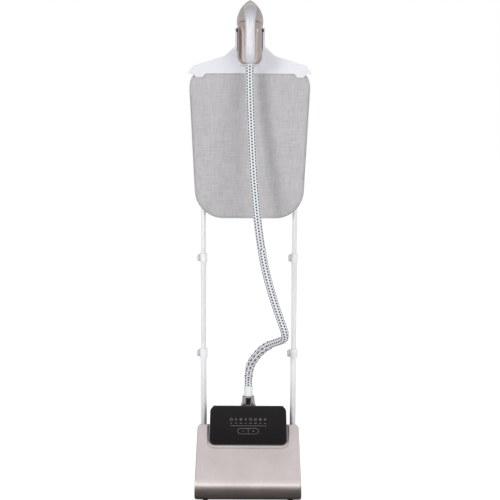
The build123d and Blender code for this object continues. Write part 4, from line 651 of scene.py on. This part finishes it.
def build_hose():
    """Three stretches of one hose: the lower on the base, the middle on the left middle pole, and the top
    one with its place baked into its mesh.
    """
    route = [Vector(place) * MM for place in HOSE_ROUTE]
    mesh = curve_mesh("hose_line", "NURBS", route)
    line = [vertex.co.copy() for vertex in mesh.vertices]
    bpy.data.meshes.remove(mesh)
    top = [point for point in line if point.z >= MIDDLE_HOSE_TOP]
    middle = [point for point in line if LOWER_HOSE_TOP <= point.z <= MIDDLE_HOSE_TOP]
    lower = [point for point in line if point.z <= LOWER_HOSE_TOP]
    middle.insert(0, top[-1])
    lower.insert(0, middle[-1])
    top = evenly(top, SLEEVE_STEP)
    middle = evenly(middle, SLEEVE_STEP)
    lower = evenly(lower[::-1], SLEEVE_STEP / 2)
    lower_length = line_length(lower)
    rib_pitch = (RIBBED_LENGTH - 2 * HOSE_DIAMETER) / RIB_COUNT

    def ribbed_radius(share):
        """Puckered into ribs over the stretch above the cuff."""
        rib = (share * lower_length - HOSE_DIAMETER) / rib_pitch
        if not 0 < rib < RIB_COUNT:
            return HOSE_DIAMETER / 2
        return HOSE_DIAMETER / 2 - RIB_SINK + RIB_DEPTH * (0.5 - 0.5 * math.cos(2 * math.pi * rib))

    sleeves = {}
    for name, points, radius_at, leaves in (
        ("hose_lower", lower, ribbed_radius, lower[0]),
        ("hose_middle", middle, plain_radius, middle[-1]),
        ("hose_top", top, plain_radius, top[0]),
    ):
        sleeves[name] = hose_sleeve("sleeve_" + name, points, radius_at)
        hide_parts(name)
    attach(sleeves["hose_lower"], "base")
    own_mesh(sleeves["hose_lower"])
    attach(sleeves["hose_middle"], "middle_left")
    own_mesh(sleeves["hose_middle"])
    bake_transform(sleeves["hose_top"])


def board_face(inset, y, rise=0.0):
    """The board's outline as one face, drawn in by inset, its top edge raised."""
    bm = bmesh.new()
    low = BOARD_BOTTOM + inset
    high = BOARD_TOP - inset + rise
    corners = [
        (-BOARD_BOTTOM_HALF + inset, y, low),
        (BOARD_BOTTOM_HALF - inset, y, low),
        (BOARD_TOP_HALF - inset, y, high),
        (-BOARD_TOP_HALF + inset, y, high),
    ]
    verts = [bm.verts.new(corner) for corner in corners]
    bm.faces.new(verts)
    for pair, radius in ((verts[:2], BOARD_BOTTOM_CORNER), (verts[2:], BOARD_TOP_CORNER)):
        bmesh.ops.bevel(
            bm,
            geom=pair,
            offset=radius - inset,
            offset_type="OFFSET",
            segments=CORNER_SEGMENTS,
            profile=0.5,
            affect="VERTICES",
            material=-1,
        )
    return bm


def evaluated_mesh(thing):
    """A new mesh of the object as its modifiers leave it."""
    view = bpy.context.evaluated_depsgraph_get()
    return bpy.data.meshes.new_from_object(thing.evaluated_get(view))


def inflate(pad):
    """Lets a closed pad swell as cloth under pressure: the stiff board holds its edge, so each point moves
    only to the front or back, and by no more than a cap."""
    start = [vertex.co.copy() for vertex in pad.data.vertices]
    cloth = pad.modifiers.new("swell", "CLOTH")
    cloth.settings.use_pressure = True
    cloth.settings.uniform_pressure_force = PAD_PRESSURE
    cloth.settings.effector_weights.gravity = 0
    cloth.point_cache.frame_start = 1
    cloth.point_cache.frame_end = SWELL_FRAMES
    for number in range(1, SWELL_FRAMES + 1):
        bpy.context.scene.frame_set(number)
    swollen = evaluated_mesh(pad)
    pad.modifiers.remove(cloth)
    bpy.context.scene.frame_set(1)
    for vertex, before, after in zip(pad.data.vertices, start, swollen.vertices):
        swell = after.co.y - before.y
        vertex.co = before + Vector((0, max(-PAD_SWELL, min(PAD_SWELL, swell)), 0))
    bpy.data.meshes.remove(swollen)


def build_board():
    """The padded linen cover, swollen against the stiff board, with its piping and gathered hem."""
    bm = board_face(PAD_INSET, PAD_FRONT, PAD_RISE)
    grown = bmesh.ops.extrude_face_region(bm, geom=bm.faces[:])
    moved = [part for part in grown["geom"] if isinstance(part, bmesh.types.BMVert)]
    bmesh.ops.translate(bm, vec=(0, PAD_BACK - PAD_FRONT, 0), verts=moved)
    bmesh.ops.recalc_face_normals(bm, faces=bm.faces)
    pad = make_object("linen_board_cover", bm)
    remesh = pad.modifiers.new("even_faces", "REMESH")
    remesh.mode = "VOXEL"
    remesh.voxel_size = PAD_VOXEL
    even = evaluated_mesh(pad)
    pad.modifiers.remove(remesh)
    pad.data = even
    inflate(pad)
    for vertex in pad.data.vertices:
        vertex.co.y = min(vertex.co.y, PAD_LIMIT)
    bm = bmesh.new()
    bm.from_mesh(pad.data)
    bmesh.ops.smooth_vert(bm, verts=bm.verts, factor=0.5, use_axis_x=True, use_axis_y=True, use_axis_z=True)
    add_piping(bm)
    add_hem(bm)
    bm.to_mesh(pad.data)
    bm.free()
    pad.data.materials.append(linen)
    pad.data.materials.append(piping_cloth)
    pad.data.shade_smooth()
    finer = pad.modifiers.new("finer", "SUBSURF")
    finer.levels = 1
    finer.render_levels = 1
    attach(pad, "upper")
    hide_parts("board_cover")


def outline_points(inset, y, step):
    """Points round the board's outline, about a step apart."""
    bm = board_face(inset, y)
    ring = [loop.vert.co.copy() for loop in bm.faces[:][0].loops]
    bm.free()
    return evenly([*ring, ring[0]], step)[:-1]


def add_piping(bm):
    """The sewn welt that runs round the edge of the cover."""
    points = outline_points(PIPING_RADIUS, PAD_FRONT + PIPING_RADIUS, PIPING_STEP)
    mesh = curve_mesh("piping_line", "POLY", points, bevel=PIPING_RADIUS, closed=True)
    before = len(bm.faces)
    bm.from_mesh(mesh)
    bm.faces.ensure_lookup_table()
    for face in bm.faces[before:]:
        face.material_index = 1
    bpy.data.meshes.remove(mesh)


def add_hem(bm):
    """The cover's edge, turned over the back of the board and gathered on its drawstring."""
    outer = outline_points(HEM_INSET, HEM_FRONT, HEM_STEP)
    middle = Vector((0, HEM_FRONT, (BOARD_BOTTOM + BOARD_TOP) / 2))
    ring = [bm.verts.new(point) for point in outer]
    edge_row = [bm.edges.new((ring[i - 1], ring[i])) for i in range(len(ring))]
    for row in range(1, HEM_ROWS + 1):
        grown = bmesh.ops.extrude_edge_only(bm, edges=edge_row)["geom"]
        verts = [part for part in grown if isinstance(part, bmesh.types.BMVert)]
        edges = [part for part in grown if isinstance(part, bmesh.types.BMEdge)]
        edge_row = [edge for edge in edges if all(vert in verts for vert in edge.verts)]
        for vert in verts:
            vert.co += (middle - vert.co).normalized() * (HEM_WIDTH / HEM_ROWS)
            gather = math.sin((vert.co.x + vert.co.z) / HEM_GATHER) * row / HEM_ROWS
            vert.co.y = HEM_FRONT + HEM_RISE * (1 + gather)


def panel_place():
    """From the panel's own plane, X to the right and Y up its face, to the frame."""
    up = Vector((0, math.sin(PANEL_TILT), math.cos(PANEL_TILT)))
    out = Vector((0, -math.cos(PANEL_TILT), math.sin(PANEL_TILT)))
    turn = Matrix((Vector((1, 0, 0)), up, out)).transposed().to_4x4()
    return Matrix.Translation(PANEL_FOOT + out * PRINT_LIFT) @ turn


def print_frame(bm, x, y, radius, sides):
    """A ring, or a frame with a few sides."""
    turn = Matrix.Translation((x, y, 0)) @ Matrix.Rotation(math.pi / sides, 4, "Z")
    made = bmesh.ops.create_circle(bm, cap_ends=True, segments=sides, radius=radius, matrix=turn)
    face = made["verts"][0].link_faces[0]
    bmesh.ops.inset_individual(bm, faces=[face], thickness=PRINT_STROKE)
    bmesh.ops.delete(bm, geom=[face], context="FACES")


def print_bar(bm, x, y, width, height):
    """A flat bar about its middle."""
    place = Matrix.Translation((x, y, 0)) @ Matrix.Diagonal((width, height, 1, 1))
    bmesh.ops.create_grid(bm, x_segments=1, y_segments=1, size=0.5, matrix=place)


def print_key_end(bm, x, side):
    """The half round at one end of the key, as an arc spun from a short line."""
    inner = bm.verts.new((x, KEY_ROW - KEY_RADIUS - PRINT_STROKE / 2, 0))
    outer = bm.verts.new((x, KEY_ROW - KEY_RADIUS + PRINT_STROKE / 2, 0))
    line = bm.edges.new((inner, outer))
    bmesh.ops.spin(
        bm,
        geom=[inner, outer, line],
        cent=(x, KEY_ROW, 0),
        axis=(0, 0, side),
        angle=math.pi,
        steps=KEY_STEPS,
        use_merge=False,
    )


def raise_print(bm, thickness, place):
    """Gives flat print a thickness and puts it in its place."""
    grown = bmesh.ops.extrude_face_region(bm, geom=bm.faces[:])
    raised = [part for part in grown["geom"] if isinstance(part, bmesh.types.BMVert)]
    bmesh.ops.translate(bm, vec=(0, 0, thickness), verts=raised)
    bmesh.ops.transform(bm, matrix=place, verts=bm.verts)
    bmesh.ops.recalc_face_normals(bm, faces=bm.faces)


def build_panel_print():
    """Plain signs for eight programmes, a line and a two-part key, printed on the glass."""
    bm = bmesh.new()
    for place, sides in enumerate(ICON_SIDES):
        x = (place - (len(ICON_SIDES) - 1) / 2) * ICON_PITCH
        print_frame(bm, x, ICON_ROW, ICON_RADIUS, sides)
        if place % 2:
            print_bar(bm, x, ICON_ROW, SIGN_LENGTH, PRINT_STROKE)
        if place % 3 == 0:
            print_bar(bm, x, ICON_ROW, PRINT_STROKE, SIGN_LENGTH)
        if place % 4 == 2:
            print_frame(bm, x, ICON_ROW, INNER_RADIUS, INNER_SIDES)
        print_bar(bm, x, LABEL_ROW, LABEL_SHORT + place % 3 * LABEL_GROWTH, SIGN_STROKE)
    print_bar(bm, 0, LINE_ROW, 2 * LINE_HALF, PRINT_STROKE)
    straight = KEY_HALF - KEY_RADIUS
    for edge in (-1, 1):
        print_bar(bm, 0, KEY_ROW + edge * KEY_RADIUS, 2 * straight, PRINT_STROKE)
        print_bar(bm, edge * KEY_HALF / 2, KEY_ROW, 4 * SIGN_STROKE, SIGN_STROKE)
        print_key_end(bm, edge * straight, edge)
    print_bar(bm, KEY_HALF / 2, KEY_ROW, SIGN_STROKE, 4 * SIGN_STROKE)
    print_bar(bm, 0, KEY_ROW, PRINT_STROKE, 2 * KEY_RADIUS)
    raise_print(bm, PRINT_THICKNESS, panel_place())
    signs = make_object("panel_print", bm, print_ink)
    signs.data.shade_flat()
    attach(signs, "base")


def build_tank_marks():
    """Raised level marks on the back of the tank, every other one longer."""
    bm = bmesh.new()
    for row in range(MARK_COUNT):
        width = MARK_SHORT if row % 2 else MARK_LONG
        print_bar(bm, MARK_X, MARK_LOWEST + row * MARK_PITCH, width, MARK_HEIGHT)
    facing_back = Matrix.Translation((0, TANK_BACK - MARK_SINK, 0)) @ Matrix.Rotation(math.pi / 2, 4, "X")
    mirror = Matrix.Diagonal((1, 1, -1, 1))
    raise_print(bm, MARK_RAISE, facing_back @ mirror)
    marks = make_object("tank_level_marks", bm, mark_ink)
    marks.data.shade_flat()
    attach(marks, "tank")


def build_valve_spring():
    """The coil over the tank's valve: a wire wound up round the stem."""
    low, high = [Vector(corner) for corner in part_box("valve_spring")]
    middle = (low + high) / 2
    wound = (high.x - low.x - SPRING_WIRE) / 2
    start = Matrix.Translation((middle.x + wound, middle.y, low.z + SPRING_WIRE / 2))
    upright = Matrix.Rotation(math.pi / 2, 4, "X")
    steps = SPRING_TURNS * SPRING_STEPS
    bm = bmesh.new()
    section = {"cap_ends": True, "segments": SPRING_SIDES, "radius": SPRING_WIRE / 2}
    bmesh.ops.create_circle(bm, matrix=start @ upright, **section)
    bmesh.ops.spin(
        bm,
        geom=[*bm.verts, *bm.edges, *bm.faces],
        cent=middle,
        axis=(0, 0, 1),
        dvec=(0, 0, (high.z - low.z - SPRING_WIRE) / steps),
        angle=2 * math.pi * SPRING_TURNS,
        steps=steps,
        use_merge=False,
    )
    bmesh.ops.recalc_face_normals(bm, faces=bm.faces)
    coil = make_object("valve_spring_coil", bm, zinc_steel)
    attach(coil, "tank")
    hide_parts("valve_spring")
    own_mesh(coil)


build_hose()
build_board()
build_panel_print()
build_tank_marks()
build_valve_spring()


def stage_plane(name, width, height, place, turn, material):
    """A flat card of the studio, which isn't part of the object."""
    bm = bmesh.new()
    matrix = Matrix.Translation(place) @ turn @ Matrix.Diagonal((width, height, 1, 1))
    bmesh.ops.create_grid(bm, x_segments=1, y_segments=1, size=0.5, matrix=matrix)
    card = make_object(name, bm, material)
    return card


def area_lamp(name, place, target, size, power):
    """A round soft lamp that shines at a target and doesn't show in gloss."""
    lamp = bpy.data.lights.new(name, "AREA")
    lamp.shape = "DISK"
    lamp.size = size
    lamp.energy = power
    thing = bpy.data.objects.new(name, lamp)
    thing.location = place
    thing.rotation_euler = (Vector(target) - Vector(place)).to_track_quat("-Z", "Y").to_euler()
    thing.visible_glossy = False
    bpy.context.scene.collection.objects.link(thing)


def seen_rays(tree):
    """One for rays that show the background: from the camera, from gloss and through glass."""
    rays = add(tree, "ShaderNodeLightPath").outputs
    seen = add(tree, "ShaderNodeMath", {0: rays["Is Camera Ray"], 1: rays["Is Glossy Ray"]}, operation="ADD")
    through = {0: seen.outputs[0], 1: rays["Is Transmission Ray"]}
    return add(tree, "ShaderNodeMath", through, operation="ADD", use_clamp=True).outputs[0]


def build_studio():
    """White sky and floor, three soft lamps, and cards that only the gloss of the object sees."""
    world = bpy.data.worlds.new("white_studio")
    bpy.context.scene.world = world
    world.use_nodes = True
    tree = world.node_tree
    tree.nodes.clear()
    white = colour("ffffff")
    levels = {"Value": seen_rays(tree), "To Min": SKY_LIGHT, "To Max": SKY_SEEN}
    strength = add(tree, "ShaderNodeMapRange", levels).outputs[0]
    sky = add(tree, "ShaderNodeBackground", {"Strength": strength, "Color": white})
    add(tree, "ShaderNodeOutputWorld", {"Surface": sky.outputs[0]})

    # Background paper: white and matt, and it glows only where it is seen
    paper, tree, shader, place = surface("white_paper", {"Emission Color": white})
    fibre = {"Vector": place, "Scale": 1 / PAPER_FIBRE, "Detail": 2.0}
    fibres = add(tree, "ShaderNodeTexNoise", fibre).outputs[0]
    finish(tree, shader, fibres, ("e5e5e5", "e7e7e7"), fibres, (0.85, 0.95), 0.01 * MM)
    glow = add(tree, "ShaderNodeMath", {0: seen_rays(tree), 1: FLOOR_GLOW}, operation="MULTIPLY").outputs[0]
    tree.links.new(glow, shader.inputs["Emission Strength"])
    flat = Matrix.Identity(4)
    stage_plane("floor", FLOOR_SIZE, FLOOR_SIZE, (0, 0, -FLOOR_DROP), flat, paper)

    # Felt and card, dull, for the darker bands in the gloss; lit cloth for the bright ones
    dark = surface("dark_felt", {"Base Color": colour("26150e"), "Roughness": 0.9})[0]
    grey = surface("grey_card", {"Base Color": colour("a39a96"), "Roughness": 0.9})[0]
    bright = surface("softbox_cloth", {"Emission Color": white, "Emission Strength": FRONT_GLOW})[0]
    brighter = surface("strip_cloth", {"Emission Color": white, "Emission Strength": SIDE_GLOW})[0]
    upright = Matrix.Rotation(math.pi / 2, 4, "X")
    sideways = Matrix.Rotation(math.pi / 2, 4, "Y")
    to_left = Matrix.Rotation(STRIP_LEFT_TURN, 4, "Z") @ upright
    to_right = Matrix.Rotation(STRIP_RIGHT_TURN, 4, "Z") @ upright
    for name, width, height, spot, turn, cover in (
        ("flag_on_floor", 3.0, 1.0, (0, -0.6, 1 * MM), flat, dark),
        ("flag_far_front", 16.0, 0.5, (0, -3.5, 0.25), upright, dark),
        ("card_left", 1.0, 3.6, (-1.6, -0.3, 1.5), sideways, grey),
        ("strip_front", 5.0, 0.8, (-1.0, -3.4, 1.1), upright, bright),
        ("strip_left", 0.45, 1.3, (-2.9, -2.6, 1.8), to_left, brighter),
        ("strip_right", 0.25, 0.4, (2.4, -2.9, 2.4), to_right, brighter),
    ):
        card = stage_plane(name, width, height, spot, turn, cover)
        card.visible_camera = False
        card.visible_diffuse = False
        card.visible_shadow = False
        card.visible_transmission = False

    area_lamp("key_lamp", KEY_LAMP_PLACE, KEY_LAMP_TARGET, KEY_LAMP_SIZE, KEY_LAMP_POWER)
    area_lamp("fill_lamp", FILL_LAMP_PLACE, FILL_LAMP_TARGET, FILL_LAMP_SIZE, FILL_LAMP_POWER)
    area_lamp("back_lamp", BACK_LAMP_PLACE, BACK_LAMP_TARGET, BACK_LAMP_SIZE, BACK_LAMP_POWER)


def build_camera():
    """The camera, tilted down and rolled as the photograph's was."""
    data = bpy.data.cameras.new("camera")
    data.lens = CAMERA_LENS
    data.sensor_width = CAMERA_SENSOR
    data.shift_x = CAMERA_SHIFT
    camera = bpy.data.objects.new("camera", data)
    camera.location = CAMERA_PLACE
    tilt = Matrix.Rotation(math.radians(90 - CAMERA_PITCH), 3, "X")
    roll = Matrix.Rotation(math.radians(CAMERA_ROLL), 3, "Z")
    camera.rotation_euler = (tilt @ roll).to_euler()
    bpy.context.scene.collection.objects.link(camera)
    bpy.context.scene.camera = camera


build_studio()
build_camera()
bpy.context.scene.view_settings.view_transform = "Standard"
